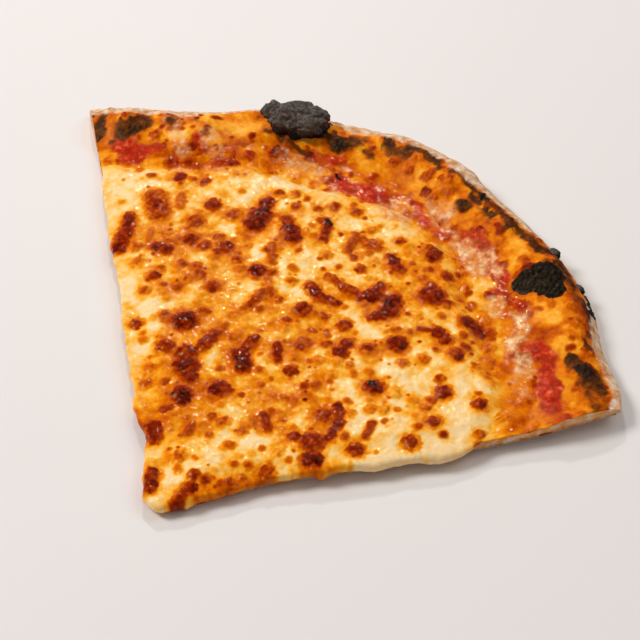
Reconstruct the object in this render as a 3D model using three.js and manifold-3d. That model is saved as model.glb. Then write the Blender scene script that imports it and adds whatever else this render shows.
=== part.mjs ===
// A wood-fired cheese pizza slice, cut wide from one side of a thin, round pizza.
// Millimetres, +Z up, +Y from the tip to the crust. Three layers lie on each other: the dough with its
// puffed rim, the tomato sauce, and the melted cheese, which rolls over the two cuts.
import * as THREE from "three";
import Module from "manifold-3d";

const wasm = await Module();
wasm.setup();

// ---- Driving dimensions ------------------------------------------------------------------------
const pizza = { x: -30, y: 60, radius: 138 }; // the whole pizza, seen from the slice's tip
const apex = { x: -2, y: 3.5 }; // where the two straight cuts would meet
const cutBearing = { left: -43.2, right: 43.3 }; // degrees from +Y, clockwise

// Where the rim swells or draws in: degrees round the pizza, spread in degrees, growth in mm.
const rimSwells = [
  { at: -53, spread: 6, growth: 6.4 },
  { at: -34, spread: 9, growth: -5.5 },
  { at: -13, spread: 8, growth: -1.2 },
  { at: 6, spread: 9, growth: 2.8 },
  { at: 28, spread: 10, growth: -1.7 },
  { at: 57, spread: 6, growth: -2 },
  { at: 66, spread: 6, growth: 1.8 },
];
// Where the rim's crest stands higher or sinks, in the same terms.
const crestSwells = [
  { at: -50, spread: 7, growth: 2.4 },
  { at: -26, spread: 6, growth: -2.7 },
  { at: -6, spread: 5, growth: -2.2 },
  { at: 14, spread: 5, growth: 2.8 },
  { at: 60, spread: 8, growth: -1.8 },
];
// How the cuts leave a straight line: mm along the cut, spread, mm outwards.
const cutWander = {
  left: [
    { at: 6, spread: 14, growth: 3.6 },
    { at: 41, spread: 6, growth: 2 },
    { at: 65, spread: 25, growth: 1 },
    { at: 140, spread: 40, growth: -0.6 },
  ],
  right: [
    { at: 32, spread: 20, growth: -1.7 },
    { at: 85, spread: 30, growth: 0.9 },
    { at: 122, spread: 24, growth: 1.8 },
  ],
};
const tip = { reach: 0.3, shoulder: 3.5 }; // the blunt end of the slice

const dough = { thick: 3, atCut: 2.3, lip: 3.2, crest: 10.8, crestInset: 10, rimWidth: 34 };
const sauce = { thick: 0.7, atEdge: 0.4, inset: 26 };
const cheese = { thick: 2.1, atEdge: 1.1, inset: 35, lossAtCut: 0.35 };
const thinning = 8; // width over which a layer reaches its full thickness
const gap = 0.3; // clearance between layers
const pressed = 9; // width along a cut that the cutter pressed down
const rimEnds = { width: 24, loss: 0.42 }; // the rim is flatter towards its two cut ends
const footInset = 1.4; // how far the rim's underside is rounded in
const rimBelly = 0.5; // how far the rim's wall stands out at half its height
const cornerShare = 0.03; // share of a side over which the rim's wall runs out at a cut

// The cut on the right curls up off the plate, most of all at its corner.
const curl = { cut: 1.5, cutWidth: 28, corner: 3, cornerWidth: 60, cornerStart: 85, cornerEnd: 150 };
// A bubble in the dough, long along the rim and steep towards the tip.
const bubble = { x: -85, y: 152, along: 24, inner: 7, outer: 13, rise: 5 };
// How far the sauce and the cheese reach towards the rim, by degrees round the pizza.
const sauceTongues = [
  { at: -58, spread: 9, growth: 2 },
  { at: -8, spread: 12, growth: 3 },
  { at: 50, spread: 12, growth: 3 },
];
const cheeseTongues = [
  { at: -48, spread: 7, growth: -3 },
  { at: -30, spread: 9, growth: 5 },
  { at: -4, spread: 8, growth: -5 },
  { at: 22, spread: 9, growth: 4 },
  { at: 42, spread: 8, growth: -5 },
  { at: 60, spread: 7, growth: -4 },
];

// Cheese that sags over a cut: side, mm along the cut, spread, extra overhang, drop below the layer.
const sags = [
  { side: "right", at: 90, spread: 8, out: 2.6, drop: 2 },
  { side: "right", at: 49, spread: 3, out: 0.8, drop: 2.2 },
  { side: "right", at: 3, spread: 9, out: 0.8, drop: 1.5 },
  { side: "left", at: 5, spread: 9, out: 0.8, drop: 1.2 },
  { side: "left", at: 120, spread: 14, out: 0.5, drop: 0.6 },
];
// The cheese's edge along a plain cut, and the shares of a side over which it fades in from the rim.
const lip = { out: 1.1, drop: 0.35, clear: 0.5, fade: { from: 0.03, to: 0.1 } };

// The largest browned blisters of the cheese: x, y, radius.
const blisters = [
  [-83, 114, 5], [-47, 128, 5], [-50, 136, 4], [-33, 127, 4.5], [-24, 134, 3], [-11, 136, 3.5],
  [-33, 104, 4], [-9, 106, 4], [7, 115, 4.5], [14.5, 112, 5.5], [24, 126, 6], [36, 110, 4],
  [43, 120.5, 4], [44, 105, 4], [23.5, 138, 3.5], [14.5, 145, 3.5], [25.5, 98.5, 4.5], [-9.5, 95.5, 4],
  [11, 87.5, 4.5], [-1, 82, 4], [48.5, 87, 4], [61, 88.5, 3.5], [54, 73, 4], [28.5, 77.5, 4.5],
  [-40, 70, 5.5], [-15, 67.5, 5], [-29, 55, 6], [-38.5, 57, 4], [-22, 41, 5], [-13, 50, 4.5],
  [22, 57, 5], [25, 44, 6], [-20.5, 25, 4], [-9.5, 7, 4], [-83, 95, 4.5], [-62, 105.5, 3.5],
  [-61.5, 83, 3], [-66, 114.5, 4],
];
const blister = { rise: 0.3, foot: 1.35 }; // height and foot of a blister over its radius

// Domes of puffed crust on the rim: x, y, radius, height.
const rimDomes = [
  [53, 151, 9, 2.2], [46, 150, 5, 1.2], [59, 147, 5, 1.2], [81, 118, 7, 1.1], [-118, 148, 8, 1],
  [-44, 179, 5, 1.3], [-14, 187, 5, 0.8], [12, 171, 5, 1], [32, 168, 5, 1], [-107, 156, 5, 0.8],
];
// Lumps of charred crust that stand up from the rim: centre, half sizes, degrees turned.
const charLumps = [
  { at: [-60.5, 179.5, 12], half: [11.8, 7.5, 6.4], turn: 20 },
  { at: [-72, 181, 10.5], half: [5.5, 5, 4.6], turn: 0 },
  { at: [50.5, 167.5, 6.6], half: [2.9, 2.6, 2.6], turn: 0 },
  { at: [65, 155, 6], half: [2.6, 2.2, 2.2], turn: 0 },
];
// Relief of a lump over its size, and the spacing of its coarse and fine bumps on a ball of radius 1.
const charRelief = { height: 0.13, coarse: 0.55, fine: 0.3, detail: 4 };

// Unevenness: spacing and height in mm, each from its own seed.
const crestUneven = [{ size: 26, height: 1.3, seed: 3 }];
const rimUneven = [{ size: 7, height: 0.5, seed: 5 }, { size: 4, height: 0.3, seed: 6 }];
const cheeseUneven = [{ size: 9, height: 0.35, seed: 1 }, { size: 4.5, height: 0.2, seed: 2 }];
const firstLumpSeed = 11;

const cell = { hidden: 9, wall: 5, sauce: 4, rim: 3, cheese: 2.9, base: 13 }; // mesh sizes, mm

// ---- Small helpers -----------------------------------------------------------------------------
const { lerp, smoothstep, degToRad, radToDeg } = THREE.MathUtils;
const bell = (distance, spread) => Math.exp(-((distance / spread) ** 2));
const sumOf = (bells, at) =>
  bells.reduce((total, b) => total + b.growth * bell(at - b.at, b.spread), 0);

// A steady pseudo-random value in 0..1 for a lattice corner.
function hash(i, j, seed) {
  const wave = Math.sin(i * 127.1 + j * 311.7 + seed * 74.7) * 43758.5453;
  return wave - Math.floor(wave);
}

// Smooth unevenness in -1..1, with lumps about `size` across.
function unevenness(x, y, size, seed) {
  const i = Math.floor(x / size);
  const j = Math.floor(y / size);
  const u = smoothstep(x / size - i, 0, 1);
  const v = smoothstep(y / size - j, 0, 1);
  const near = lerp(hash(i, j, seed), hash(i + 1, j, seed), u);
  const far = lerp(hash(i, j + 1, seed), hash(i + 1, j + 1, seed), u);
  return 2 * lerp(near, far, v) - 1;
}
const relief = (octaves, x, y) =>
  octaves.reduce((total, o) => total + o.height * unevenness(x, y, o.size, o.seed), 0);

// ---- The slice in plan -------------------------------------------------------------------------
// Unit vectors along each cut, and out of the slice square to it.
function cutAxes(bearing, outSide) {
  const angle = degToRad(bearing);
  return {
    along: new THREE.Vector2(Math.sin(angle), Math.cos(angle)),
    out: new THREE.Vector2(outSide * Math.cos(angle), -outSide * Math.sin(angle)),
  };
}
const leftCut = cutAxes(cutBearing.left, -1);
const rightCut = cutAxes(cutBearing.right, 1);

const bearingRound = (x, y) => radToDeg(Math.atan2(x - pizza.x, y - pizza.y));
const rimRadius = (bearing) => pizza.radius + sumOf(rimSwells, bearing);

// Distance in from the rim's outer edge.
function inset(x, y) {
  return rimRadius(bearingRound(x, y)) - Math.hypot(x - pizza.x, y - pizza.y);
}

// Distance from the apex, along a bearing, at which the rim's edge is `insetAt(bearing)` mm away.
function reachTo(bearing, insetAt) {
  const dx = Math.sin(bearing);
  const dy = Math.cos(bearing);
  const toCentre = dx * (pizza.x - apex.x) + dy * (pizza.y - apex.y);
  const offAxis = Math.hypot(pizza.x - apex.x, pizza.y - apex.y) ** 2 - toCentre ** 2;
  const passes = 8; // the rim's radius depends on where the ray meets it, so the reach is refined
  let reach = pizza.radius;
  for (let pass = 0; pass < passes; pass++) {
    const round = bearingRound(apex.x + dx * reach, apex.y + dy * reach);
    const radius = rimRadius(round) - insetAt(round);
    reach = toCentre + Math.sqrt(radius ** 2 - offAxis);
  }
  return reach;
}

// The four lines that the rows of the mesh follow: tip, cheese edge, sauce edge, rim edge.
const rowLines = [
  (across) => tip.reach + tip.shoulder * (2 * across - 1) ** 2,
  (across) => reachTo(bearingAt(across), (round) => cheese.inset - sumOf(cheeseTongues, round)),
  (across) => reachTo(bearingAt(across), (round) => sauce.inset - sumOf(sauceTongues, round)),
  (across) => reachTo(bearingAt(across), () => 0),
];
const cheeseEdge = 1;
const sauceEdge = 2;
const rimEdge = 3;

function bearingAt(across) {
  return degToRad(lerp(cutBearing.left, cutBearing.right, across));
}

// A point of the plan: `across` from the left cut (0) to the right cut (1), `line` from tip to rim.
function planPoint(across, line) {
  const zone = Math.min(Math.floor(line), rimEdge - 1);
  const reach = lerp(rowLines[zone](across), rowLines[zone + 1](across), line - zone);
  const bearing = bearingAt(across);
  const point = new THREE.Vector2(apex.x, apex.y);
  point.addScaledVector(new THREE.Vector2(Math.sin(bearing), Math.cos(bearing)), reach);
  point.addScaledVector(leftCut.out, sumOf(cutWander.left, reach) * (1 - across));
  return point.addScaledVector(rightCut.out, sumOf(cutWander.right, reach) * across);
}

// How far a point lies along a cut, and how far inside it.
function fromCut(cut, x, y) {
  const rel = new THREE.Vector2(x - apex.x, y - apex.y);
  return { along: rel.dot(cut.along), inside: -rel.dot(cut.out) };
}
const insideCuts = (x, y) => Math.min(fromCut(leftCut, x, y).inside, fromCut(rightCut, x, y).inside);

// ---- Heights -----------------------------------------------------------------------------------
// The underside: flat on the plate, and curled up along the right cut.
function underside(x, y) {
  const { along, inside } = fromCut(rightCut, x, y);
  const near = (width) => Math.max(1 - Math.max(inside, 0) / width, 0) ** 2;
  return (
    curl.cut * near(curl.cutWidth) * smoothstep(along, curl.cutWidth / 2, 2 * curl.cutWidth) +
    curl.corner * near(curl.cornerWidth) * smoothstep(along, curl.cornerStart, curl.cornerEnd)
  );
}

// 1 at a cut, falling to 0 where the cutter left the slice at its full height.
const cutPress = (x, y) => 1 - smoothstep(insideCuts(x, y), 0, pressed);

// The puffed rim over its own foot: a quick rise to the crest, and a long slope to the middle.
function rimHeight(x, y) {
  const from = inset(x, y);
  const full = 1 - rimEnds.loss * bell(Math.max(insideCuts(x, y), 0), rimEnds.width);
  const swell = sumOf(crestSwells, bearingRound(x, y));
  const crest = dough.crest * full + swell + relief(crestUneven, x, y);
  if (from < dough.crestInset) {
    const climb = 1 - (1 - Math.max(from, 0) / dough.crestInset) ** 2;
    return lerp(dough.lip, crest, climb);
  }
  const down = Math.min((from - dough.crestInset) / (dough.rimWidth - dough.crestInset), 1);
  return lerp(dough.thick, crest, 0.5 + 0.5 * Math.cos(Math.PI * down));
}

// The bubble in the dough, in directions round and across the pizza.
function bubbleHeight(x, y) {
  const turn = Math.atan2(bubble.x - pizza.x, bubble.y - pizza.y);
  const dx = x - bubble.x;
  const dy = y - bubble.y;
  const outwards = dx * Math.sin(turn) + dy * Math.cos(turn);
  const round = dx * Math.cos(turn) - dy * Math.sin(turn);
  const across = outwards < 0 ? bubble.inner : bubble.outer;
  return bubble.rise * bell(round, bubble.along) * bell(outwards, across);
}

// A dome of the given radius and height, rounded into what it stands on.
function dome(x, y, [cx, cy, radius], height) {
  const share = Math.hypot(x - cx, y - cy) / radius;
  return share < 1 ? height * (1 - share ** 2) ** 2 : 0;
}

function doughTop(x, y) {
  const rim = rimHeight(x, y);
  const press = cutPress(x, y) * (dough.thick - dough.atCut) * (rim / dough.thick);
  const onRim = 1 - smoothstep(inset(x, y), sauce.inset - thinning, sauce.inset);
  const domes = rimDomes.reduce((total, d) => total + dome(x, y, d, d[3]), 0);
  const bare = onRim * (domes + relief(rimUneven, x, y));
  return underside(x, y) + rim - press + bubbleHeight(x, y) + bare;
}

// Each layer lies on the one below, thinner towards its own outer edge.
function layerThickness(layer, x, y) {
  const share = smoothstep(inset(x, y), layer.inset - thinning / 4, layer.inset + thinning);
  return lerp(layer.atEdge, layer.thick, share);
}
const sauceBottom = (x, y) => doughTop(x, y) + gap;
const sauceTop = (x, y) => sauceBottom(x, y) + layerThickness(sauce, x, y);
const cheeseBottom = (x, y) => sauceTop(x, y) + gap;

// The cheese's top, with blisters that rise from a foot wider than their browned spot.
function cheeseTop(x, y) {
  const thick = layerThickness(cheese, x, y) * (1 - cheese.lossAtCut * cutPress(x, y));
  const raised = blisters.reduce((most, [bx, by, radius]) => {
    return Math.max(most, dome(x, y, [bx, by, radius * blister.foot], radius * blister.rise));
  }, 0);
  const full = smoothstep(inset(x, y), cheese.inset, cheese.inset + thinning);
  return cheeseBottom(x, y) + thick + raised + full * relief(cheeseUneven, x, y);
}

// ---- Mesh building -----------------------------------------------------------------------------
// A body under construction: vertices, and faces that point outwards.
const newBody = () => ({ points: [], faces: [] });

// Adds a row of vertices; `at` is each one's place along the row, used when rows are bridged.
function addRow(body, places) {
  return places.map(({ at, x, y, z }) => {
    body.points.push(new THREE.Vector3(x, y, z));
    return { at, id: body.points.length - 1 };
  });
}

// Fills the strip between two rows, stepping along whichever row lags behind.
function bridge(body, near, far, faceDown = false) {
  let i = 0;
  let j = 0;
  while (i < near.length - 1 || j < far.length - 1) {
    const nextNear = i < near.length - 1 ? near[i + 1].at : Infinity;
    const nextFar = j < far.length - 1 ? far[j + 1].at : Infinity;
    const stepNear = nextNear + near[i].at <= nextFar + far[j].at;
    const third = stepNear ? near[i + 1] : far[j + 1];
    const face = [near[i].id, third.id, far[j].id];
    body.faces.push(faceDown ? face.reverse() : face);
    if (stepNear) i += 1;
    else j += 1;
  }
}

// Plan places of a row, evenly spaced at about `size` mm; `pull` draws them in from the rim.
function rowPlaces(line, size, height, pull = 0) {
  const middle = planPoint(0.5, line);
  const width = middle.distanceTo(planPoint(0, line)) + middle.distanceTo(planPoint(1, line));
  const fewest = 3;
  const count = Math.max(fewest, Math.round(width / size));
  return Array.from({ length: count + 1 }, (_, i) => {
    const at = i / count;
    const p = planPoint(at, line);
    if (pull) p.lerp(new THREE.Vector2(pizza.x, pizza.y), pull / pizza.radius);
    return { at, x: p.x, y: p.y, z: height(p.x, p.y) };
  });
}

// The row lines between two zones' edges, about `size` mm apart on the slice's axis.
function linesBetween(from, to, size) {
  const length = planPoint(0.5, from).distanceTo(planPoint(0.5, to));
  const count = Math.max(1, Math.round(length / size));
  return Array.from({ length: count }, (_, i) => lerp(from, to, (i + 1) / count));
}

// A sheet from tip to outer edge. Each band is { to, size }: its outer line and its mesh size.
function addSheet(body, bands, height, faceDown, pullLast = 0) {
  const steps = [{ line: 0, size: bands[0].size }];
  let from = 0;
  for (const band of bands) {
    for (const line of linesBetween(from, band.to, band.size)) steps.push({ line, size: band.size });
    from = band.to;
  }
  const rows = steps.map(({ line, size }, i) =>
    addRow(body, rowPlaces(line, size, height, i === steps.length - 1 ? pullLast : 0)),
  );
  rows.slice(1).forEach((row, i) => bridge(body, rows[i], row, faceDown));
  return sheetLoop(rows, steps.map(({ line }) => line / from));
}

// The sheet's boundary, clockwise from above: left cut 0..1, outer edge 1..2, right cut 2..3, tip 3..4.
function sheetLoop(rows, shares) {
  const last = rows.length - 1;
  const left = rows.map((row, i) => ({ at: shares[i], id: row[0].id }));
  const outer = rows[last].slice(1).map(({ at, id }) => ({ at: 1 + at, id }));
  const right = rows.slice(0, last).map((row, i) => ({ at: 3 - shares[i], id: row[row.length - 1].id }));
  const blunt = rows[0].slice(0, -1).map(({ at, id }) => ({ at: 4 - at, id }));
  return [...left, ...outer, ...right.reverse(), ...blunt.reverse()];
}

// The plan point and the outward direction at a place on the boundary of a sheet.
function boundaryAt(at, outerLine) {
  const where = (place) => {
    const wrapped = (place + 4) % 4;
    if (wrapped < 1) return planPoint(0, wrapped * outerLine);
    if (wrapped < 2) return planPoint(wrapped - 1, outerLine);
    if (wrapped < 3) return planPoint(1, (3 - wrapped) * outerLine);
    return planPoint(4 - wrapped, 0);
  };
  const step = 0.012; // share of a side, so that the direction turns smoothly at a corner
  const run = where(at + step).sub(where(at - step)).normalize();
  return { point: where(at), out: new THREE.Vector2(-run.y, run.x) };
}

// A closed ring of vertices round a sheet, at the places given, shaped by `form(at, boundary)`.
function addRing(body, places, outerLine, form) {
  const ring = addRow(body, places.slice(0, -1).map((at) => {
    const edge = boundaryAt(at, outerLine);
    const { offset, z } = form(at, edge);
    return { at, x: edge.point.x + edge.out.x * offset, y: edge.point.y + edge.out.y * offset, z };
  }));
  return [...ring, { at: 4, id: ring[0].id }];
}

// Places round a sheet's boundary, about `size` mm apart, with its four corners kept.
function ringPlaces(outerLine, size) {
  const chords = 8;
  const mark = (side, i) => boundaryAt(side + (i / chords) * 0.999, outerLine).point;
  const lengths = [0, 1, 2, 3].map((side) =>
    Array.from({ length: chords }, (_, i) => mark(side, i).distanceTo(mark(side, i + 1)))
      .reduce((sum, chord) => sum + chord, 0),
  );
  const counts = lengths.map((length) => Math.max(2, Math.round(length / size)));
  const places = counts.flatMap((count, side) => Array.from({ length: count }, (_, i) => side + i / count));
  return [...places, 4];
}

function toGeometry({ points, faces }) {
  const geometry = new THREE.BufferGeometry().setFromPoints(points);
  geometry.setIndex(faces.flat());
  return geometry;
}

// ---- The layers --------------------------------------------------------------------------------
const coveredBands = [{ to: cheeseEdge, size: cell.hidden }];
const sauceBands = [...coveredBands, { to: sauceEdge, size: cell.sauce }];

// The dough: a top sheet, a base that stands flat, and the cut and rim walls between them.
function doughBody() {
  const body = newBody();
  const top = addSheet(body, [...sauceBands, { to: rimEdge, size: cell.rim }], doughTop, false);
  const bottom = addSheet(body, [{ to: rimEdge, size: cell.base }], underside, true, footInset);
  const onRim = (at) => smoothstep(at, 1 - cornerShare, 1) * (1 - smoothstep(at, 2, 2 + cornerShare));
  const middle = addRing(body, ringPlaces(rimEdge, cell.wall), rimEdge, (at, { point }) => {
    const low = underside(point.x, point.y);
    const high = doughTop(point.x, point.y);
    return { offset: rimBelly * onRim(at), z: lerp(low, high, 0.5) };
  });
  bridge(body, top, middle);
  bridge(body, middle, bottom);
  return body;
}

function sauceBody() {
  const body = newBody();
  const top = addSheet(body, sauceBands, sauceTop, false);
  const bottom = addSheet(body, sauceBands, sauceBottom, true);
  bridge(body, top, bottom);
  return body;
}

// How far the cheese hangs past a cut, and how far it drops, at a place on its boundary.
function overhang(at, point) {
  const fromRim = Math.max(1 - at, at - 2); // share of a side from the nearer end of the outer edge
  const onCut = smoothstep(fromRim, lip.fade.from, lip.fade.to);
  const hang = { onCut, out: lip.out, drop: lip.drop };
  const onLeft = at < 1 || at > 3.5; // half of the blunt tip belongs to each cut
  for (const sag of sags) {
    if ((sag.side === "left") !== onLeft) continue;
    const cut = onLeft ? leftCut : rightCut;
    const share = bell(fromCut(cut, point.x, point.y).along - sag.at, sag.spread);
    hang.out += sag.out * share;
    hang.drop += sag.drop * share;
  }
  return hang;
}

// The rings of the cheese's edge, from its underside out, down over the cut and up to its top:
// offset beside the outer edge, share of the overhang on a cut, share of the drop, share of the height.
const edgeRings = [
  { plain: 0.12, share: 0, drop: 0, rise: 0, size: cell.wall },
  { plain: 0.3, share: 0.1, drop: 1, rise: 0, size: cell.wall },
  { plain: 0.5, share: 0.7, drop: 1, rise: 0.04, size: cell.wall },
  { plain: 0.65, share: 1, drop: 0.45, rise: 0.4, size: cell.cheese },
  { plain: 0.45, share: 0.7, drop: 0, rise: 0.8, size: cell.cheese },
];

function cheeseBody() {
  const body = newBody();
  const top = addSheet(body, [{ to: cheeseEdge, size: cell.cheese }], cheeseTop, false);
  const bottom = addSheet(body, coveredBands, cheeseBottom, true);
  const rings = edgeRings.map((ring) =>
    addRing(body, ringPlaces(cheeseEdge, ring.size), cheeseEdge, (at, { point, out }) => {
      const hang = overhang(at, point);
      const offset = lerp(ring.plain, lip.clear + ring.share * hang.out, hang.onCut);
      const held = point.clone().addScaledVector(out, offset * (1 - hang.onCut));
      const low = cheeseBottom(held.x, held.y);
      const high = cheeseTop(point.x, point.y);
      return { offset, z: lerp(low, high, ring.rise) - ring.drop * hang.drop * hang.onCut };
    }),
  );
  const shell = [top, ...rings.reverse(), bottom];
  shell.slice(1).forEach((ring, i) => bridge(body, shell[i], ring));
  return body;
}

// ---- Charred lumps, joined to the dough --------------------------------------------------------
function solidOf(geometry) {
  return new wasm.Manifold(
    new wasm.Mesh({
      numProp: 3,
      vertProperties: new Float32Array(geometry.attributes.position.array),
      triVerts: new Uint32Array(geometry.index.array),
    }),
  );
}

// A rough ball: an icosahedron with its corners shared, pushed in and out, then stretched.
function lumpBody({ at, half, turn }, seed) {
  const ball = new THREE.IcosahedronGeometry(1, charRelief.detail).attributes.position;
  const { height, coarse, fine } = charRelief;
  const ids = new Map();
  const body = newBody();
  const corners = Array.from({ length: ball.count }, (_, i) => {
    const p = new THREE.Vector3().fromBufferAttribute(ball, i);
    const key = p.toArray().map((value) => Math.round(value * 1e4)).join();
    if (!ids.has(key)) {
      ids.set(key, body.points.length);
      const large = unevenness(p.x + p.z, p.y - p.z, coarse, seed);
      const small = unevenness(p.x, p.z, fine, seed + 1) / 2;
      body.points.push(p.multiplyScalar(1 + height * (large + small)));
    }
    return ids.get(key);
  });
  for (let i = 0; i < corners.length; i += 3) body.faces.push(corners.slice(i, i + 3));
  const turned = new THREE.Quaternion().setFromAxisAngle(new THREE.Vector3(0, 0, 1), degToRad(turn));
  const place = new THREE.Matrix4().compose(new THREE.Vector3(...at), turned, new THREE.Vector3(...half));
  return toGeometry(body).applyMatrix4(place);
}

function crustGeometry() {
  const joined = charLumps.reduce(
    (solid, lump, i) => solid.add(solidOf(lumpBody(lump, firstLumpSeed + i))),
    solidOf(toGeometry(doughBody())),
  );
  const mesh = joined.getMesh();
  const geometry = new THREE.BufferGeometry();
  geometry.setAttribute("position", new THREE.BufferAttribute(new Float32Array(mesh.vertProperties), 3));
  return geometry.setIndex(new THREE.BufferAttribute(new Uint32Array(mesh.triVerts), 1));
}

// ---- The slice ---------------------------------------------------------------------------------
function layerMesh(name, geometry, color, roughness) {
  geometry.computeVertexNormals();
  const mesh = new THREE.Mesh(geometry, new THREE.MeshStandardMaterial({ color, roughness, metalness: 0 }));
  mesh.name = name;
  return mesh;
}

const slice = new THREE.Group();
slice.add(
  layerMesh("crust", crustGeometry(), 0xc98a3c, 0.75),
  layerMesh("tomato_sauce", toGeometry(sauceBody()), 0xb5301a, 0.45),
  layerMesh("cheese", toGeometry(cheeseBody()), 0xecc26a, 0.35),
);

// The origin is under the middle of the slice's box, on the plate.
const box = new THREE.Box3().setFromObject(slice);
for (const mesh of slice.children) {
  mesh.position.set(-(box.min.x + box.max.x) / 2, -(box.min.y + box.max.y) / 2, 0);
}

export default slice;
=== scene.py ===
# %% [markdown]
# # A slice of cheese pizza
# A wide slice of thin pizza from a wood-fired oven: dough with a puffed and scorched rim, tomato sauce,
# and melted cheese with brown blisters. Real food looks right when many small causes show at once, such
# as heat, oil, flour and the cutter. So each cause becomes one map over the slice, and both the shapes
# and the colours read the same maps.

import math

import bmesh
import bpy
import numpy as np
from mathutils import Matrix, Quaternion, Vector, noise


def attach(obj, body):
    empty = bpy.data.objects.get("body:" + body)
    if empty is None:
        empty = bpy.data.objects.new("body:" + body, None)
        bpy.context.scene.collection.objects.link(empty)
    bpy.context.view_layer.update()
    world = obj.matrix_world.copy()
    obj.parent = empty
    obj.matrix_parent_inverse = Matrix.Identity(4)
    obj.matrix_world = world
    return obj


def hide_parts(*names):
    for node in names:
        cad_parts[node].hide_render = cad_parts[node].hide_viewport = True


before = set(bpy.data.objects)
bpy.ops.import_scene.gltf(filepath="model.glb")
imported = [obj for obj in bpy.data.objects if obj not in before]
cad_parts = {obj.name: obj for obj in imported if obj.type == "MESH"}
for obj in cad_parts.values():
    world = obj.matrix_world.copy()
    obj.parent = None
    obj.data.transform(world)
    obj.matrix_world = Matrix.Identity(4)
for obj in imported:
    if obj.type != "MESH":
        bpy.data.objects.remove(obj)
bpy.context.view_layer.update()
MM = 0.001
tip_place = (20.138, -100.753)  # the slice's tip in the frame, mm: plan places are measured from it

# %% [markdown]
# ## Small helpers
# Colours are written as the hex values of a paint chart, which are sRGB. Blender's shaders work in linear
# light, so one function turns hex to linear. Another adds a node to any tree, sets its properties, and
# fills or links its sockets. A third makes an object and links it into the scene, without which it would
# not render. The rest are the usual curves: a bell, a soft step up, a soft step down and a blend.

# %% Helpers
def colour(code):
    """sRGB hex text to linear RGBA."""
    parts = [int(code[i:i + 2], 16) / 255 for i in (1, 3, 5)]
    return [c / 12.92 if c <= 0.04045 else ((c + 0.055) / 1.055) ** 2.4 for c in parts] + [1.0]


def add_node(tree, kind, sockets=None, stops=None, **settings):
    """Adds a node. `sockets` maps an input's name or number to a value or to another node's output;
    `stops` are a colour ramp's (position, hex) pairs."""
    node = tree.nodes.new(kind)
    for name, value in settings.items():
        setattr(node, name, value)
    for key, value in (sockets or {}).items():
        socket = node.inputs[key]
        if isinstance(value, bpy.types.NodeSocket):
            tree.links.new(value, socket)
        else:
            socket.default_value = value
    if stops:
        ramp = node.color_ramp.elements
        while len(ramp) < len(stops):
            ramp.new(1)
        for element, (position, code) in zip(ramp, stops):
            element.position = position
            element.color = colour(code)
    return node


def add_object(name, data):
    """An object for a mesh, a lamp or a camera, in the scene."""
    new_object = bpy.data.objects.new(name, data)
    bpy.context.scene.collection.objects.link(new_object)
    return new_object


# %% Curves
def bell(distance, spread):
    return np.exp(-((distance / spread) ** 2))


def smoothstep(value, low, high):
    share = np.clip((value - low) / (high - low), 0, 1)
    return share * share * (3 - 2 * share)


def fading(value, low, high):
    """From 1 at `low` down to 0 at `high`."""
    return 1 - smoothstep(value, low, high)


def lerp(start, end, share):
    return start + (end - start) * share


def sum_of(bells, at):
    """Sum of bells, each (place, spread, growth)."""
    return sum(growth * bell(at - place, spread) for place, spread, growth in bells)


# %% [markdown]
# ## Camera
# A long lens looks down at the slice from its right-hand cut, about 44 degrees above the table. Blender
# aims a camera along its own -Z axis, so one quaternion turns -Z to the target and a second one adds the
# small tilt of a camera held by hand.

# %% Camera
camera = add_object("Camera", bpy.data.cameras.new("Camera"))
bpy.context.scene.camera = camera
camera.data.lens = 90
camera.data.sensor_width = 36
camera_place = Vector((208.1, -342.9, 379.4)) * MM
camera_target = Vector((18.2, -6.4, 7.0)) * MM
camera_roll = math.radians(2.1)
aim = (camera_target - camera_place).to_track_quat("-Z", "Y")
camera.matrix_world = Matrix.LocRotScale(camera_place, aim @ Quaternion((0, 0, 1), camera_roll), None)
print("camera distance, mm:", round((camera_target - camera_place).length / MM))

# %% [markdown]
# ## Unevenness
# Nothing baked is even. Value noise gives each corner of a lattice a steady pseudo-random height and
# blends smoothly between corners. Cell noise gives the distance to the nearest of many scattered points,
# which reads as wrinkles, curds and char. Both are plain numpy, so a shape and its colour can use the
# same value.

# %% Noise
def hash01(i, j, seed):
    wave = np.sin(i * 127.1 + j * 311.7 + seed * 74.7) * 43758.5453
    return wave - np.floor(wave)


def unevenness(x, y, size, seed):
    """Smooth unevenness in -1..1, with lumps about `size` mm across."""
    i, j = np.floor(x / size), np.floor(y / size)
    u, v = smoothstep(x / size - i, 0, 1), smoothstep(y / size - j, 0, 1)
    near = lerp(hash01(i, j, seed), hash01(i + 1, j, seed), u)
    far = lerp(hash01(i, j + 1, seed), hash01(i + 1, j + 1, seed), u)
    return 2 * lerp(near, far, v) - 1


def layered(x, y, size, seed, layers=3):
    """Unevenness with finer layers on top, each turned so that no lattice shows."""
    total, height = 0, 0
    for layer in range(layers):
        share = 0.5 ** layer
        total = total + share * unevenness(x, y, size * share, seed + layer)
        height += share
        x, y = 0.8 * x - 0.6 * y + 3.1, 0.6 * x + 0.8 * y
    return total / height


# %% Cells of noise
def nearest_point(x, y, size, seed):
    """The nearest of many scattered points, `size` mm apart: its x and y, and how far off it is (0..1)."""
    i, j = np.floor(x / size), np.floor(y / size)
    nearest, at_x, at_y = (np.full(np.shape(x), 9.0) for _ in range(3))
    for di in (-1, 0, 1):
        for dj in (-1, 0, 1):
            px = i + di + 0.15 + 0.7 * hash01(i + di, j + dj, seed)
            py = j + dj + 0.15 + 0.7 * hash01(i + di, j + dj, seed + 1)
            distance = np.hypot(x / size - px, y / size - py)
            closer = distance < nearest
            nearest, at_x, at_y = (np.where(closer, new, old) for new, old in (
                (distance, nearest), (px * size, at_x), (py * size, at_y)))
    return at_x, at_y, np.minimum(nearest, 1)


def cell_distance(x, y, size, seed):
    return nearest_point(x, y, size, seed)[2]


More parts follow.
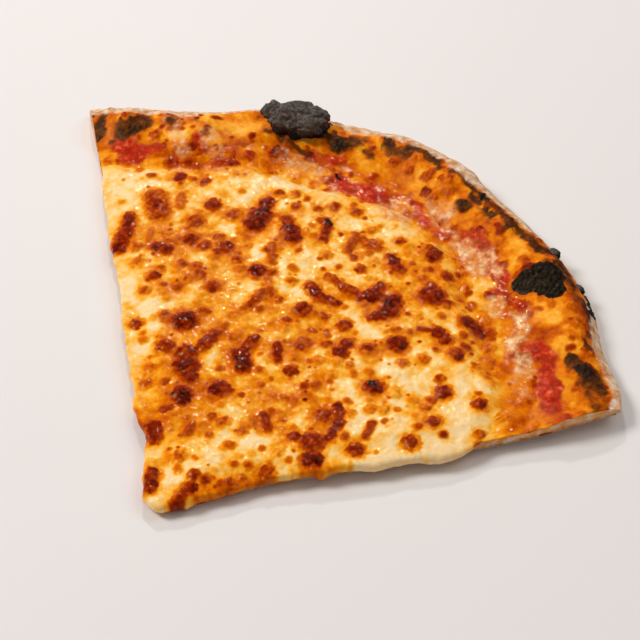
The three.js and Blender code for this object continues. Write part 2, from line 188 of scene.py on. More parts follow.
# %% [markdown]
# ## The slice in plan
# The slice is cut from a round pizza whose centre isn't the slice's tip. A point of the plan is given by
# its place across the slice, from the left cut (0) to the right cut (1), and by a line from the tip (0)
# over the cheese's edge (1) and the sauce's edge (2) to the rim (3). These are the measures of the packed
# solids, in millimetres, so the fine pieces lie where the solids are.

# %% Measures of the slice
pizza = {"x": -30, "y": 60, "radius": 138}
apex = {"x": -2, "y": 3.5}  # the place that both cuts run from
cut_bearing = {"left": -43.2, "right": 43.3}  # degrees from +Y, clockwise
# Degrees round the pizza, spread, growth in mm: of the rim's edge, and of its crest's height
rim_swells = [
    (-53, 6, 6.4), (-34, 9, -5.5), (-13, 8, -1.2), (6, 9, 2.8), (28, 10, -1.7), (57, 6, -2), (66, 6, 1.8)]
crest_swells = [(-50, 7, 2.4), (-26, 6, -2.7), (-6, 5, -2.2), (14, 5, 2.8), (60, 8, -1.8)]
# How the cuts leave a straight line: mm along the cut, spread, mm outwards
cut_wander = {
    "left": [(6, 14, 3.6), (41, 6, 2), (65, 25, 1), (140, 40, -0.6)],
    "right": [(32, 20, -1.7), (85, 30, 0.9), (122, 24, 1.8)],
}
tip = {"reach": 0.3, "shoulder": 3.5}  # the blunt end of the slice
dough = {"thick": 3, "at_cut": 2.3, "lip": 3.2, "crest": 10.8, "crest_inset": 10, "rim_width": 34}
sauce = {"thick": 0.7, "at_edge": 0.4, "inset": 26}
cheese = {"thick": 2.1, "at_edge": 1.1, "inset": 35, "loss_at_cut": 0.35}
thinning = 8  # width over which a layer reaches its full thickness
gap = 0.3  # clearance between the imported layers
pressed = 9  # width along a cut that the cutter pressed down
rim_ends = {"width": 24, "loss": 0.42}  # the rim is flatter towards its two cut ends
foot_inset = 1.4  # how far the rim's underside is rounded in
rim_belly = 0.5  # how far the rim's wall stands out at its fullest
corner_share = 0.03  # share of a side over which the rim's wall runs out at a cut
# The cut on the right curls up off the plate, most of all at its corner
curl = {"cut": 1.5, "cut_width": 28, "corner": 3, "corner_width": 60, "start": 85, "end": 150}
# A bubble in the dough, long along the rim and steep towards the tip
bubble = {"x": -85, "y": 152, "along": 24, "inner": 7, "outer": 13, "rise": 5}
# How far the sauce and the cheese reach towards the rim, by degrees round the pizza
sauce_tongues = [(-58, 9, 2), (-8, 12, 3), (50, 12, 3)]
cheese_tongues = [(-48, 7, -3), (-30, 9, 5), (-4, 8, -5), (22, 9, 4), (42, 8, -5), (60, 7, -4)]


# %% Plan of the slice
def cut_axes(bearing, out_side):
    angle = math.radians(bearing)
    along = (math.sin(angle), math.cos(angle))
    return {"along": along, "out": (out_side * along[1], -out_side * along[0])}


left_cut = cut_axes(cut_bearing["left"], -1)
right_cut = cut_axes(cut_bearing["right"], 1)


def bearing_round(x, y):
    return np.degrees(np.arctan2(x - pizza["x"], y - pizza["y"]))


def rim_radius(bearing):
    return pizza["radius"] + sum_of(rim_swells, bearing)


def inset(x, y):
    """Distance in from the rim's outer edge."""
    return rim_radius(bearing_round(x, y)) - np.hypot(x - pizza["x"], y - pizza["y"])


def reach_to(bearing, inset_at):
    """Distance from the apex to the place where the rim's edge is inset_at(bearing) mm away."""
    dx, dy = np.sin(bearing), np.cos(bearing)
    centre = (pizza["x"] - apex["x"], pizza["y"] - apex["y"])
    to_centre = dx * centre[0] + dy * centre[1]
    off_axis = centre[0] ** 2 + centre[1] ** 2 - to_centre ** 2
    reach = np.full(np.shape(bearing), float(pizza["radius"]))
    for _ in range(8):  # the radius depends on where the ray meets the rim, so the reach is refined
        around = bearing_round(apex["x"] + dx * reach, apex["y"] + dy * reach)
        reach = to_centre + np.sqrt((rim_radius(around) - inset_at(around)) ** 2 - off_axis)
    return reach


def bearing_at(across):
    return np.radians(lerp(cut_bearing["left"], cut_bearing["right"], across))


def ragged(around, seed):
    """A baked edge wanders by a millimetre or two, along the arc."""
    wander = lambda size, seed: unevenness(around, 0 * around, size, seed)
    return 1.6 * wander(4.2, seed) + 0.7 * wander(1.6, seed + 1)


# %% Lines across the slice
# How far in from the rim the cheese and the sauce end, by degrees round the pizza
cheese_end = lambda around: cheese["inset"] - sum_of(cheese_tongues, around) + ragged(around, 21)
sauce_end = lambda around: sauce["inset"] - sum_of(sauce_tongues, around) + ragged(around, 24)
# Each line gives its distance from the apex, by place across the slice
row_lines = [
    lambda across: tip["reach"] + tip["shoulder"] * (2 * across - 1) ** 2,
    lambda across: reach_to(bearing_at(across), cheese_end),
    lambda across: reach_to(bearing_at(across), sauce_end),
    lambda across: reach_to(bearing_at(across), lambda around: 0 * around),
]
cheese_edge, sauce_edge, rim_edge = 1, 2, 3
# Each line is worked out once, at close steps across the slice, and read between them
across_steps = np.linspace(0, 1, 4001)
row_reaches = [row_line(across_steps) for row_line in row_lines]


# %% Places and distances in plan
def plan_point(across, line):
    """x and y of plan places; `across` and `line` are numbers or arrays."""
    across, line = np.broadcast_arrays(np.asarray(across, float), np.asarray(line, float))
    reaches = np.stack([np.interp(across, across_steps, row_reach) for row_reach in row_reaches])
    zone = np.minimum(line.astype(int), rim_edge - 1)[None]
    near, far = (np.take_along_axis(reaches, zone + step, 0)[0] for step in (0, 1))
    reach = lerp(near, far, line - zone[0])
    bearing = bearing_at(across)
    left = sum_of(cut_wander["left"], reach) * (1 - across)
    right = sum_of(cut_wander["right"], reach) * across
    x, y = (
        apex[axis] + way * reach + left_cut["out"][i] * left + right_cut["out"][i] * right
        for i, (axis, way) in enumerate((("x", np.sin(bearing)), ("y", np.cos(bearing))))
    )
    return x, y


def from_cut(cut, x, y):
    """Distance along a cut, and inside it."""
    dx, dy = x - apex["x"], y - apex["y"]
    return dx * cut["along"][0] + dy * cut["along"][1], -(dx * cut["out"][0] + dy * cut["out"][1])


def inside_cuts(x, y):
    return np.minimum(from_cut(left_cut, x, y)[1], from_cut(right_cut, x, y)[1])


# %% [markdown]
# ## A fine lattice of the plan
# Every map is worked out once, on a square lattice of plan places 0.3 mm apart. A spot then touches only
# the few lattice places round it, so hundreds of spots take a second. A shape or a colour reads a map back
# anywhere by blending the four nearest places.

# %% Lattice
lattice_step = 0.3
lattice_x = np.arange(-142.0, 107.0, lattice_step)
lattice_y = np.arange(-9.0, 208.0, lattice_step)
grid_x, grid_y = np.meshgrid(lattice_x, lattice_y)
from_rim = inset(grid_x, grid_y)  # mm in from the rim's edge, at every place of the lattice
around_grid = bearing_round(grid_x, grid_y)  # degrees round the pizza
print("lattice places:", grid_x.size)


def lumps(size, seed, layers=3):
    """Layered unevenness over the whole lattice, with lumps about `size` mm across."""
    return layered(grid_x, grid_y, size, seed, layers)


def read(chart, x, y):
    """A map's value at any plan places."""
    u = np.clip((x - lattice_x[0]) / lattice_step, 0, len(lattice_x) - 1.001)
    v = np.clip((y - lattice_y[0]) / lattice_step, 0, len(lattice_y) - 1.001)
    i, j = u.astype(int), v.astype(int)
    u, v = u - i, v - j
    return lerp(lerp(chart[j, i], chart[j, i + 1], u), lerp(chart[j + 1, i], chart[j + 1, i + 1], u), v)


def near(stroke, reach):
    """The part of the lattice within `reach` mm of a stroke."""
    x1, y1, x2, y2 = stroke[:4]
    columns = np.searchsorted(lattice_x, [min(x1, x2) - reach, max(x1, x2) + reach])
    rows = np.searchsorted(lattice_y, [min(y1, y2) - reach, max(y1, y2) + reach])
    return slice(*rows), slice(*columns)


# %% [markdown]
# ## Spots and strokes
# A spot is a short stroke: two ends, a radius and a strength from 0 to 1. Its outline is bent by noise in
# proportion to its size, because a blister of cheese is never a circle. A large blister is a crowd of
# small bubbles, each with a tone of its own, and painted shade darkens the crease round each bubble.

# %% Strokes
def stroke_distance(x, y, stroke):
    """Distance to a stroke's middle line over its radius."""
    x1, y1, x2, y2, radius = stroke[:5]
    dx, dy = x2 - x1, y2 - y1
    share = np.clip(((x - x1) * dx + (y - y1) * dy) / (dx * dx + dy * dy + 1e-9), 0, 1)
    return np.hypot(x - x1 - share * dx, y - y1 - share * dy) / radius


def bent(x, y, amount, size, seed):
    """The place moved a little by noise, to make straight and round things irregular."""
    return x + amount * layered(x, y, size, seed), y + amount * layered(x, y, size, seed + 7)


def painted(strokes, soft, bend=1.6, bend_size=4.5, seed=31):
    """A map of strokes, full inside and fading out over `soft` of their radius."""
    bx, by = bent(grid_x, grid_y, bend, bend_size, seed)
    clear = np.ones(grid_x.shape)
    for stroke in strokes:
        part = near(stroke, stroke[4] * (1 + soft / 2) + bend)
        cover = fading(stroke_distance(bx[part], by[part], stroke), 1 - soft / 2, 1 + soft / 2)
        clear[part] *= 1 - stroke[5] * cover
    return 1 - clear


# %% Bubbles
bubble_size = 1.8
bent_places = bent(grid_x, grid_y, 0.35, bubble_size, 33)
bubble_x, bubble_y, from_bubble = nearest_point(*bent_places, bubble_size, 37)
bubble_tops = 1 - np.minimum(from_bubble / 0.8, 1) ** 2
own_tones = hash01(np.floor(bubble_x * 7), np.floor(bubble_y * 7), 5)
# each bubble's own random tone, plus painted shade that makes it darker towards the crease round it
bubble_tones_and_crease_shade = 0.34 * (own_tones - 0.65) + 0.34 * (from_bubble - 0.42)


def baked(heat, rise, strokes, seed):
    """Bakes blisters into the maps of heat and rise. A large one is a cluster of small bubbles, so its
    outline follows theirs; a small one is a single soft bubble. Each has a warm ring."""
    for i, stroke in enumerate(strokes):
        radius, brown = stroke[4:]
        part = near(stroke, 2.2 * radius + 1.5)
        cluster = 0.66 * smoothstep(radius, 0.9, 2.2)
        soft = lerp(0.45, 0.28, smoothstep(radius, 1, 2.4))
        bx, by = bent(grid_x[part], grid_y[part], 0.26 * radius + 0.15, 1.1 * radius + 0.6, seed + 2 * i)
        by_bubble = stroke_distance(bubble_x[part], bubble_y[part], stroke)
        distance = lerp(stroke_distance(bx, by, stroke), by_bubble, cluster)
        core = fading(distance, 1 - soft, 1 + 0.5 * soft)
        ring = (0.14 + 0.45 * brown) * fading(distance, 0.95, 1.9)
        swelling = (1 - np.minimum(distance / 1.25, 1) ** 2) ** 2
        heart = brown + cluster * (bubble_tones_and_crease_shade[part] + 0.08 * swelling)
        height = 0.34 * radius ** 0.8 * swelling + 0.4 * cluster * core * bubble_tops[part]
        heat[part] = np.maximum(heat[part], lerp(ring, heart, core))
        rise[part] = np.maximum(rise[part], height)


spot = lambda x, y, radius, strength=1.0: (x, y, x, y, radius, strength)

# %% [markdown]
# ## Blisters of the cheese
# Where steam lifted the cheese, it browned. A rule could scatter all the blisters, but the larger ones
# make the pattern that the eye knows a slice by, so they are placed one by one. Their browning runs from
# orange (0.5) over red-brown (0.65) to nearly black (0.9).

# %% Larger blisters
# x, y, radius, browning
round_blisters = [
    (-83, 114, 2.4, 0.78), (-66, 126, 3.1, 0.78), (-56, 125, 3.3, 0.62), (-66, 114.5, 3.4, 0.68),
    (-62, 105.5, 3.1, 0.8), (-56, 105, 2.8, 0.66), (-71, 103.5, 2, 0.52), (-76, 92, 2.2, 0.54),
    (-71, 86, 2, 0.52), (-62, 87, 2, 0.52), (-61.5, 83, 2.1, 0.76), (-60, 75.5, 2.2, 0.54),
    (-32.5, 144, 2, 0.6), (-43.5, 147, 2, 0.55), (-20, 150.5, 2.3, 0.66), (-5, 133, 1.6, 0.6),
    (-3, 124, 2, 0.76), (-17, 124, 2, 0.5), (-54, 112, 2.4, 0.62), (-49, 109, 2.8, 0.8),
    (-42, 105, 2.2, 0.62), (-33, 104, 3.3, 0.82), (-28, 106, 2, 0.66), (-20, 106, 2, 0.56),
    (-24, 98, 2, 0.6), (7, 114.5, 3.6, 0.86), (24, 125.5, 4.8, 0.83), (30, 124.5, 2.4, 0.7),
    (21, 130, 2.4, 0.68), (44, 105, 3.1, 0.68), (46, 103.5, 1.7, 0.84), (23.5, 138, 2.8, 0.72),
    (40, 139, 2.3, 0.78), (25.5, 98.5, 3.8, 0.82), (6, 97, 2.8, 0.7), (-2, 97, 2.2, 0.62),
    (-9.5, 95.5, 3.4, 0.79), (11, 89.5, 3, 0.74), (11.5, 85, 2.8, 0.8), (18.5, 91, 3.2, 0.6),
    (18.5, 91, 1.5, 0.74), (17, 81.5, 1.5, 0.55), (28.5, 77.5, 3.7, 0.8), (27.8, 78.6, 2, 0.9),
    (-1, 82, 3.3, 0.67), (2, 69, 2.7, 0.7), (-7, 64, 1.6, 0.6), (12.7, 60.5, 0.8, 0.95),
    (10, 59, 1.8, 0.54), (-3, 59, 1.8, 0.54), (3, 57, 1.8, 0.52), (-41.5, 89, 2.7, 0.72),
    (-51.5, 82.5, 2, 0.6), (-37.5, 78, 2, 0.6), (-40, 70, 4.7, 0.88), (-47, 69, 2.5, 0.63),
    (-16, 67, 3.6, 0.84), (-54, 61.5, 2.4, 0.67), (-38.5, 57, 3.5, 0.7), (-31, 58, 3.8, 0.8),
    (-28, 53, 4.5, 0.84), (-24, 49.5, 2.8, 0.88), (-13, 50, 3.8, 0.82), (-22, 42, 3.8, 0.84),
    (-20.5, 40, 3, 0.93), (-18, 58, 1.5, 0.6), (-30, 44, 1.7, 0.62), (21.5, 58, 3.5, 0.68),
    (24, 46, 4.1, 0.77), (18, 45, 2.4, 0.8), (27.7, 40, 3.5, 0.84), (37, 51, 2.8, 0.74), (6, 51, 1.4, 0.6),
    (48.5, 87, 3, 0.81), (47, 82, 2, 0.62), (45, 92, 1.8, 0.6), (61, 88.5, 2.4, 0.78),
    (58.5, 92.5, 1.2, 0.6), (69, 88.5, 2, 0.5), (54, 110, 2.8, 0.5), (59.5, 105, 1.6, 0.5),
    (52, 74, 2.6, 0.7), (57, 71, 1.4, 0.82), (50, 62.5, 2.8, 0.7), (66.5, 78, 2, 0.52),
    (69.5, 73.5, 2.2, 0.8), (-35, 41, 2, 0.6), (-4.5, 39, 2.2, 0.6), (-15, 34, 1.6, 0.6),
    (-5, 32, 1.4, 0.6), (-31.5, 28, 2, 0.64), (18, 29, 2.6, 0.66), (12.5, 28, 1.6, 0.56),
    (11, 19.5, 2.1, 0.62), (0.5, 16, 1.8, 0.74), (4, 16.5, 1.6, 0.78), (1, 5, 2.2, 0.66),
    (-8, 20, 2.4, 0.5), (31, 92, 2, 0.5), (36, 97, 2.2, 0.52), (-105, 146, 2.4, 0.62), (-93, 139, 2.8, 0.8),
    (-70, 157, 2, 0.74), (-40, 162, 2.5, 0.62), (-36.5, 157, 2, 0.6), (-4, 173, 2, 0.76),
    (12, 147, 2.3, 0.7), (25, 153, 2, 0.6), (30, 152, 1.8, 0.62), (52, 138, 2.8, 0.73),
    (73, 115, 2.2, 0.64), (-119.5, 136.5, 1, 0.9),
]
# x, y at both ends, radius, browning
long_blisters = [
    (-86, 118, -79, 111, 4.2, 0.64), (-78.5, 123.5, -75, 118, 1.7, 0.56), (-87, 104, -84, 98, 2.5, 0.76),
    (-84, 98, -81, 89, 3, 0.79), (-77, 103, -74, 97, 1.2, 0.52), (-70, 96, -66, 96, 2.5, 0.79),
    (-50, 138, -48, 131, 2.8, 0.82), (-48, 130, -47, 125, 4.1, 0.88), (-39, 133, -36, 130, 2.5, 0.74),
    (-35, 128.5, -32, 126, 3.4, 0.85), (-25, 138, -22, 131, 2, 0.76), (-14, 139, -8, 137, 1.9, 0.6),
    (-13, 136, -12, 130, 1.7, 0.6), (-36, 119, -31, 110, 1.5, 0.56), (-13, 107, -8, 104, 2.5, 0.78),
    (-7, 104, -2, 105, 2.3, 0.75), (-11, 115, -5, 114, 2, 0.6), (-3, 113, 4, 112, 2.4, 0.72),
    (7, 120, 7, 117, 2.4, 0.76), (14, 116, 15.5, 111, 3.5, 0.86), (15, 109, 12, 106, 2.4, 0.76),
    (40, 121, 46, 120, 3, 0.82), (28, 109, 34, 111, 1.2, 0.76), (34, 111, 38, 109, 2.5, 0.78),
    (14.5, 147, 15, 143, 2.5, 0.86), (3, 135, 8, 131, 2.4, 0.78), (-8, 77, -4, 71, 1.6, 0.78),
    (-52, 95, -48, 91, 2, 0.63), (-25.5, 96, -26, 88, 1.9, 0.64), (-28.5, 71, -28, 63, 2.3, 0.74),
    (-16, 75, -16, 70, 2.5, 0.76), (-14, 65, -12, 62.5, 2.8, 0.88), (23, 64, 27, 58, 1.7, 0.82),
    (27, 58, 27.5, 50, 1.7, 0.82), (36, 63, 37, 57, 1.4, 0.68), (5, 48, 9, 44, 1.7, 0.75),
    (72, 76, 77, 82, 1.7, 0.74), (-12, 33, -11, 29, 1.6, 0.63), (-22, 27, -19.5, 22.5, 2.7, 0.8),
    (2, 12.5, 1, 8, 2.1, 0.74), (-11.5, 11, -9, 5.5, 2.3, 0.8), (-85, 134, -84, 131, 1.9, 0.8),
    (-78, 147, -73, 150, 2.2, 0.76), (-112, 157, -100, 155, 0.9, 0.72), (-102, 150, -97, 152, 1, 0.66),
    (-89.5, 158, -89, 154, 1.2, 0.84), (-34, 28, -22, 24, 1.4, 0.58),
]
blister_strokes = [spot(*blister) for blister in round_blisters] + long_blisters
print("larger blisters:", len(blister_strokes))

# %% [markdown]
# ## Pale and oily cheese
# Some of the cheese stayed cool and pale, and fat pooled on some of it. These broad places are drawn
# before the small spots, because small blisters keep away from the pale cheese.

# %% Pale and oily places
# x, y at both ends, radius, strength
pale_strokes = [
    (-104, 122, -88, 112, 8, 0.9), (-50, 60, -42, 50, 5, 0.6), (-58, 75, -53, 68, 4, 0.55),
    (30, 87, 46, 87, 5, 0.7), (22, 76, 32, 58, 6, 0.7), (40, 72, 48, 44, 5, 0.6), (52, 72, 72, 66, 5, 0.6),
    (-12, 18, -4, 12, 5, 0.6), (5, 24, 14, 38, 6, 0.6), (-4, 1, -3, 1, 4, 0.9), (56, 120, 60, 127, 4, 0.7),
    (-54, 152, -36, 156, 4.5, 0.7), (-98, 133, -94, 136, 3.5, 0.6), (-20, 145, 2, 150, 5, 0.5),
    (-60, 132, -57, 140, 4, 0.5), (52, 94, 70, 96, 8, 0.7), (58, 82, 74, 84, 8, 0.8),
    (14, 100, 22, 106, 4, 0.5), (-38, 112, -20, 112, 4, 0.4), (-72, 80, -64, 72, 4, 0.5),
    (28, 117, 36, 117, 4, 0.5), (-6, 118, 0, 118, 3, 0.5), (-70, 132, -64, 140, 4, 0.5),
    (-24, 112, -18, 118, 4, 0.45), (34, 98, 40, 92, 4, 0.4), (-92, 108, -88, 100, 4, 0.5),
    (38, 47, 48, 56, 6, 0.9), (50, 59, 60, 68, 6, 0.9), (62, 72, 76, 84, 6, 0.9), (22, 31, 34, 42, 4, 0.7),
    (0, 1, 3, 6, 3, 1),
]
oily_strokes = [
    (-60, 106, -30, 90, 14, 0.6), (-34, 84, 0, 62, 18, 0.6), (-40, 48, -14, 34, 10, 0.5),
    (-50, 98, -40, 120, 9, 0.4), (-22, 30, -14, 44, 7, 0.5), (0, 12, 8, 18, 4, 0.4),
    (5, 50, 18, 62, 8, 0.35), (0, 104, 28, 120, 8, 0.35), (44, 100, 60, 108, 8, 0.35),
    (-78, 100, -70, 88, 6, 0.35), (0, 124, 16, 128, 6, 0.3), (28, 132, 48, 126, 6, 0.45),
    (-108, 128, -100, 124, 5, 0.5), (60, 102, 72, 92, 7, 0.5), (-66, 122, -50, 116, 6, 0.3),
]
pale = painted(pale_strokes, soft=1.3, bend=4, bend_size=10)
oily = painted(oily_strokes, soft=1.4, bend=5, bend_size=14, seed=41)

# %% [markdown]
# Between the large blisters there are hundreds of small ones, too many to place by hand. They are thrown
# at random from a fixed seed and dropped where a large one already is.

# %% Small spots of the cheese and of the rim
def scattered_spots(count, places, radii, browning, seed):
    """Random small strokes, away from the large blisters. `places` gives a plan place from two shares."""
    random = np.random.default_rng(seed)
    strokes = []
    while len(strokes) < count:
        x, y = (float(value) for value in places(random.uniform(), random.uniform()))
        radius = random.uniform(*radii) ** 2
        turn, length = random.uniform(0, math.pi), random.uniform(0, 1) * radius
        cool = float(read(pale, np.array([x]), np.array([y]))[0])
        if random.uniform() < 0.75 * cool or any(
                math.hypot(x - s[0], y - s[1]) < 0.8 * s[4] + radius for s in blister_strokes):
            continue
        ends = (x, y, x + length * math.cos(turn), y + length * math.sin(turn))
        strokes.append((*ends, radius, lerp(*browning, random.uniform() ** 1.5) - 0.15 * cool))
    return strokes


on_cheese = lambda u, v: plan_point(0.01 + 0.98 * u, 1.1 * v ** 0.55)
on_rim_slope = lambda u, v: plan_point(u, 1.5 + 1.35 * v)
small_strokes = scattered_spots(520, on_cheese, (0.8, 1.4), (0.34, 0.72), seed=5)
small_strokes += scattered_spots(150, on_cheese, (0.5, 0.8), (0.56, 0.84), seed=7)
rim_strokes = scattered_spots(230, on_rim_slope, (0.8, 1.5), (0.5, 0.82), seed=6)
print("small spots:", len(small_strokes), "on the cheese,", len(rim_strokes), "on the rim")

# %% [markdown]
# ## Heat
# The map of heat runs from raw (0) over golden (0.35) and orange (0.5) to burnt (1). Fat runs out of the
# hot blisters and pools round them, so the cheese is orange near a blister and pale away from any. A
# blurred map of the blisters gives just that. A blur could be done in an image editor, but a running mean
# keeps it in the same lattice.

# %% Blurring
def blurred(chart, size):
    """A map smoothed over about `size` mm, by two passes of a running mean each way."""
    width = round(size / lattice_step)
    for axis in (0, 1, 0, 1):
        total = np.cumsum(chart, axis)
        ahead, behind = np.roll(total, -width, axis), np.roll(total, width, axis)
        chart = (ahead - behind) / (2 * width)
        edge = [slice(None), slice(None)]
        for ends in (slice(0, width), slice(-width, None)):
            edge[axis] = ends
            chart[tuple(edge)] = 0
    return chart


# %% Heat of the cheese, the sauce band and the rim
# x, y at both ends, radius, strength: places beside the cuts that browned more, and golden ones on the rim
toasted_strokes = [
    (5, 11, 10, 17, 2.8, 0.9), (14, 21, 21, 28, 2.4, 0.9), (26, 33, 31, 38, 3, 0.8),
    (35, 42, 38, 45, 1.8, 0.7), (-12, 20, -10, 16, 2, 0.5),
]
golden_strokes = [
    (-86, 164, -76, 167, 3.4, 0.9), (-60, 166, -50, 171, 3, 0.8), (-36, 179, -34, 178, 2, 0.7),
    (-28, 173, -19, 170, 4, 0.7), (-8, 178, 4, 179, 2.6, 0.6), (16, 169, 28, 172, 2.6, 0.6),
    (33, 169, 42, 159, 2.6, 0.8), (60, 142, 64, 135, 4, 1), (73, 125, 82, 129, 2.4, 1),
    (68, 140, 70, 137, 2, 0.5), (92, 103, 96, 101, 2.4, 0.6), (80, 112, 84, 106, 1.6, 0.5),
]
slope_foot = (20, 28)  # mm in from the rim's edge, between which the rim's slope ends
# Degrees round the pizza, spread, how much browner the rim's slope is there
rim_browning = [(-36, 14, -0.05), (6, 20, 0.03), (30, 16, 0.07), (52, 5, 0.16), (64, 8, 0.1), (-52, 6, 0.08)]

spots, rise = np.zeros(grid_x.shape), np.zeros(grid_x.shape)
baked(spots, rise, small_strokes + rim_strokes, seed=301)
baked(spots, rise, blister_strokes, seed=1801)
fat = blurred(spots, 1.8)
patches = layered(*bent(grid_x, grid_y, 2.4, 8, 51), 7.5, 54)


def ground_heat():
    melt = 0.06 + 0.48 * fat + 0.18 * patches + 0.14 * bell(patches, 0.3) + 0.12 * oily
    melt = melt + 0.13 * lumps(2.6, 57) + 0.12 * lumps(1.4, 61)
    melt = melt - 0.17 * pale + 0.3 * painted(toasted_strokes, soft=1.3, bend=2.5, bend_size=5, seed=45)
    melt = np.clip(melt, 0.01, 0.56)
    band = 0.48 + 0.26 * lumps(5.5, 64) + 0.12 * lumps(1.8, 67)
    slope = 0.37 + sum_of(rim_browning, around_grid) + 0.24 * lumps(8, 71)
    slope = slope + 0.2 * lumps(2.6, 74)
    golden = painted(golden_strokes, soft=1.2, bend=2, bend_size=5, seed=83)
    slope = lerp(slope, 0.26 + 0.1 * lumps(2.6, 85), golden)
    ragged_edge = 10 * lumps(12, 77) + 3 * lumps(4, 79)
    in_band = fading(from_rim + ragged_edge, 26, 44)
    on_rim = fading(from_rim + 3 * lumps(6, 81), *slope_foot)
    return lerp(lerp(melt, band, in_band), slope, on_rim)


ground = ground_heat()
heat = np.maximum(ground, spots)
clear_of_band = 45
under_cheese = (from_rim > clear_of_band) & (inside_cuts(grid_x, grid_y) > 0)
print("mean heat between the blisters:", round(float(ground[under_cheese].mean()), 2))
print("share of the cheese blistered:", round(float((spots[under_cheese] > 0.55).mean()), 2))

# %% [markdown]
# ## Sauce, milky cheese, scorching and char
# Bare sauce shows red in a band inside the rim, with milky curds on it. The crest of the rim stood nearest
# to the flames, so it is scorched in patches, and a few places are burnt to char. Noise could place them
# all, but large patches are what the eye finds first, so they are strokes placed one by one. Noise only
# bends their edges and breaks up the scorched crest.
# One of the scorched patches, along the foot of the big charred lump, is painted shadow over black crust.

# %% Red, milky, scorched and burnt places
# x, y at both ends, radius, strength
red_strokes = [
    (-115, 138, -107, 135, 5, 1), (-106, 137, -101, 141, 2.6, 0.9), (-34, 163, -16, 164, 5.4, 1),
    (-14, 168, -9, 169, 2.5, 0.7), (-50, 170, -38, 172, 3.2, 0.8), (-28, 172, -22, 170, 2, 0.5),
    (-5, 167, 3, 161, 2.6, 0.9), (5, 159, 15, 158, 2.8, 0.6), (20, 161, 28, 157, 2.6, 0.85),
    (28, 157, 40, 148, 3.2, 1), (38, 148, 41, 144, 2.4, 0.8), (65, 122, 70, 120, 3.8, 1),
    (72, 115, 76, 108, 3.8, 1), (76, 108, 80, 101, 3.8, 0.95), (80, 101, 86, 97, 3, 0.6),
    (-90, 150, -85, 150, 2, 0.8), (-83, 160, -74, 155, 3.2, 0.5), (-93, 140, -85, 133, 2.2, 0.5),
    (47, 146, 56, 145, 1.6, 0.8), (50, 139, 55, 136, 3, 0.6), (40, 142, 45, 141, 2, 0.6),
    (60, 112, 66, 108, 2.5, 0.35), (-80, 146, -72, 150, 2.6, 0.5), (86, 97, 92, 100, 2, 0.3),
]
milky_strokes = [
    (-98, 149, -92, 146, 3.4, 0.7), (-104, 152, -99, 154, 2.2, 0.5), (-88, 155, -80, 150, 3.6, 0.6),
    (-60, 165, -52, 160, 3.5, 0.5), (-54, 166, -42, 163, 3.2, 0.65), (-90, 137, -86, 138, 1.6, 0.6),
    (-14, 160, -6, 156, 4, 0.85), (-12, 167, -6, 164, 3, 0.7), (0, 168, 9, 167, 2.6, 0.75),
    (4, 164, 10, 162, 2.4, 0.6), (14, 160, 20, 156, 3, 0.6), (20, 156, 28, 150, 4.2, 0.85),
    (30, 155, 36, 150, 3, 0.8), (28, 148, 36, 145, 3, 0.5), (42, 138, 46, 132, 3, 0.9),
    (52, 134, 57, 130, 2.6, 0.7), (55, 131, 58, 121, 3, 0.95), (63, 116, 66, 111, 3.4, 0.85),
    (66, 106, 68, 100, 3, 0.5), (70, 103, 72, 101, 1.6, 0.8), (56, 136, 60, 134, 2, 0.5),
    (-36, 160, -32, 156, 2.4, 0.5), (-76, 142, -66, 148, 3, 0.4), (-4, 157, 4, 152, 3, 0.4),
]
scorch_and_shadow_strokes = [
    (-117.5, 140.5, -112.5, 148.5, 3.1, 0.95), (-128.5, 143, -126, 137, 2.4, 0.9),
    (-104, 153, -102, 153, 2.2, 0.8), (-126, 136, -125, 135, 1.1, 0.8), (-119, 136, -118, 136, 1.1, 0.7),
    (-46, 179, -42, 179, 3, 0.95), (-29, 188, -26, 187, 2.2, 0.9), (-20, 188, -8, 188, 1.8, 0.8),
    (-7, 186, -4, 184, 1.6, 0.7), (2, 183, 12, 180, 2.2, 0.8), (11, 171, 13, 171, 3, 0.9),
    (16, 178, 19, 178, 2, 0.85), (20, 176, 27, 173, 2.2, 0.7), (29, 171, 36, 167, 2.6, 0.8),
    (-33, 181, -31, 180, 1.7, 0.7), (-25, 183, -18, 184, 1.8, 0.5), (40, 166, 46, 163, 2.2, 0.7),
    (48, 163, 52, 165, 2.6, 0.8), (52, 155, 60, 154, 3, 0.6), (63, 152, 68, 147, 2.4, 0.5),
    (70, 150, 75, 143, 1.5, 0.8), (75, 141, 79, 134, 1.4, 0.6), (70, 140, 72, 136, 1.6, 0.35),
    (78, 131, 80, 128, 1.6, 0.7), (80.5, 119.5, 87, 116, 3.6, 0.95), (88, 116, 92, 114, 2.4, 0.9),
    # the last stroke on the next line, along the foot of the big charred lump, is painted shadow over black
    # crust
    (89, 112, 96, 105, 4, 0.55), (77, 121, 81, 120.5, 1.6, 0.8), (-70, 170.5, -52, 170, 1.5, 0.75),
    (-98, 160, -92, 158, 1.4, 0.35), (44, 145, 50, 142, 2.4, 0.4),
]
char_strokes = [
    (47, 146.5, 52, 149.5, 3.4, 0.8), (53, 152, 57, 151, 4.6, 1), (54, 149, 60, 146, 3.8, 1),
    (50, 145.5, 57, 146, 2.6, 0.9), (82, 118.6, 85, 117.2, 2.3, 0.6), (-116, 144, -114, 147, 1.6, 0.5),
    (-26, 140.5, -24.6, 139, 1.1, 1), (27.4, 78.6, 28, 78.3, 1.6, 0.85), (69, 156.5, 74.5, 148, 1.7, 0.95),
    (11.5, 171, 12.5, 171, 1.6, 0.5), (-45, 179, -43, 179, 1.8, 0.6), (-37.5, 166.5, -35, 165.5, 0.8, 0.8),
    (16.5, 178.5, 17.5, 177, 1, 0.8),
]
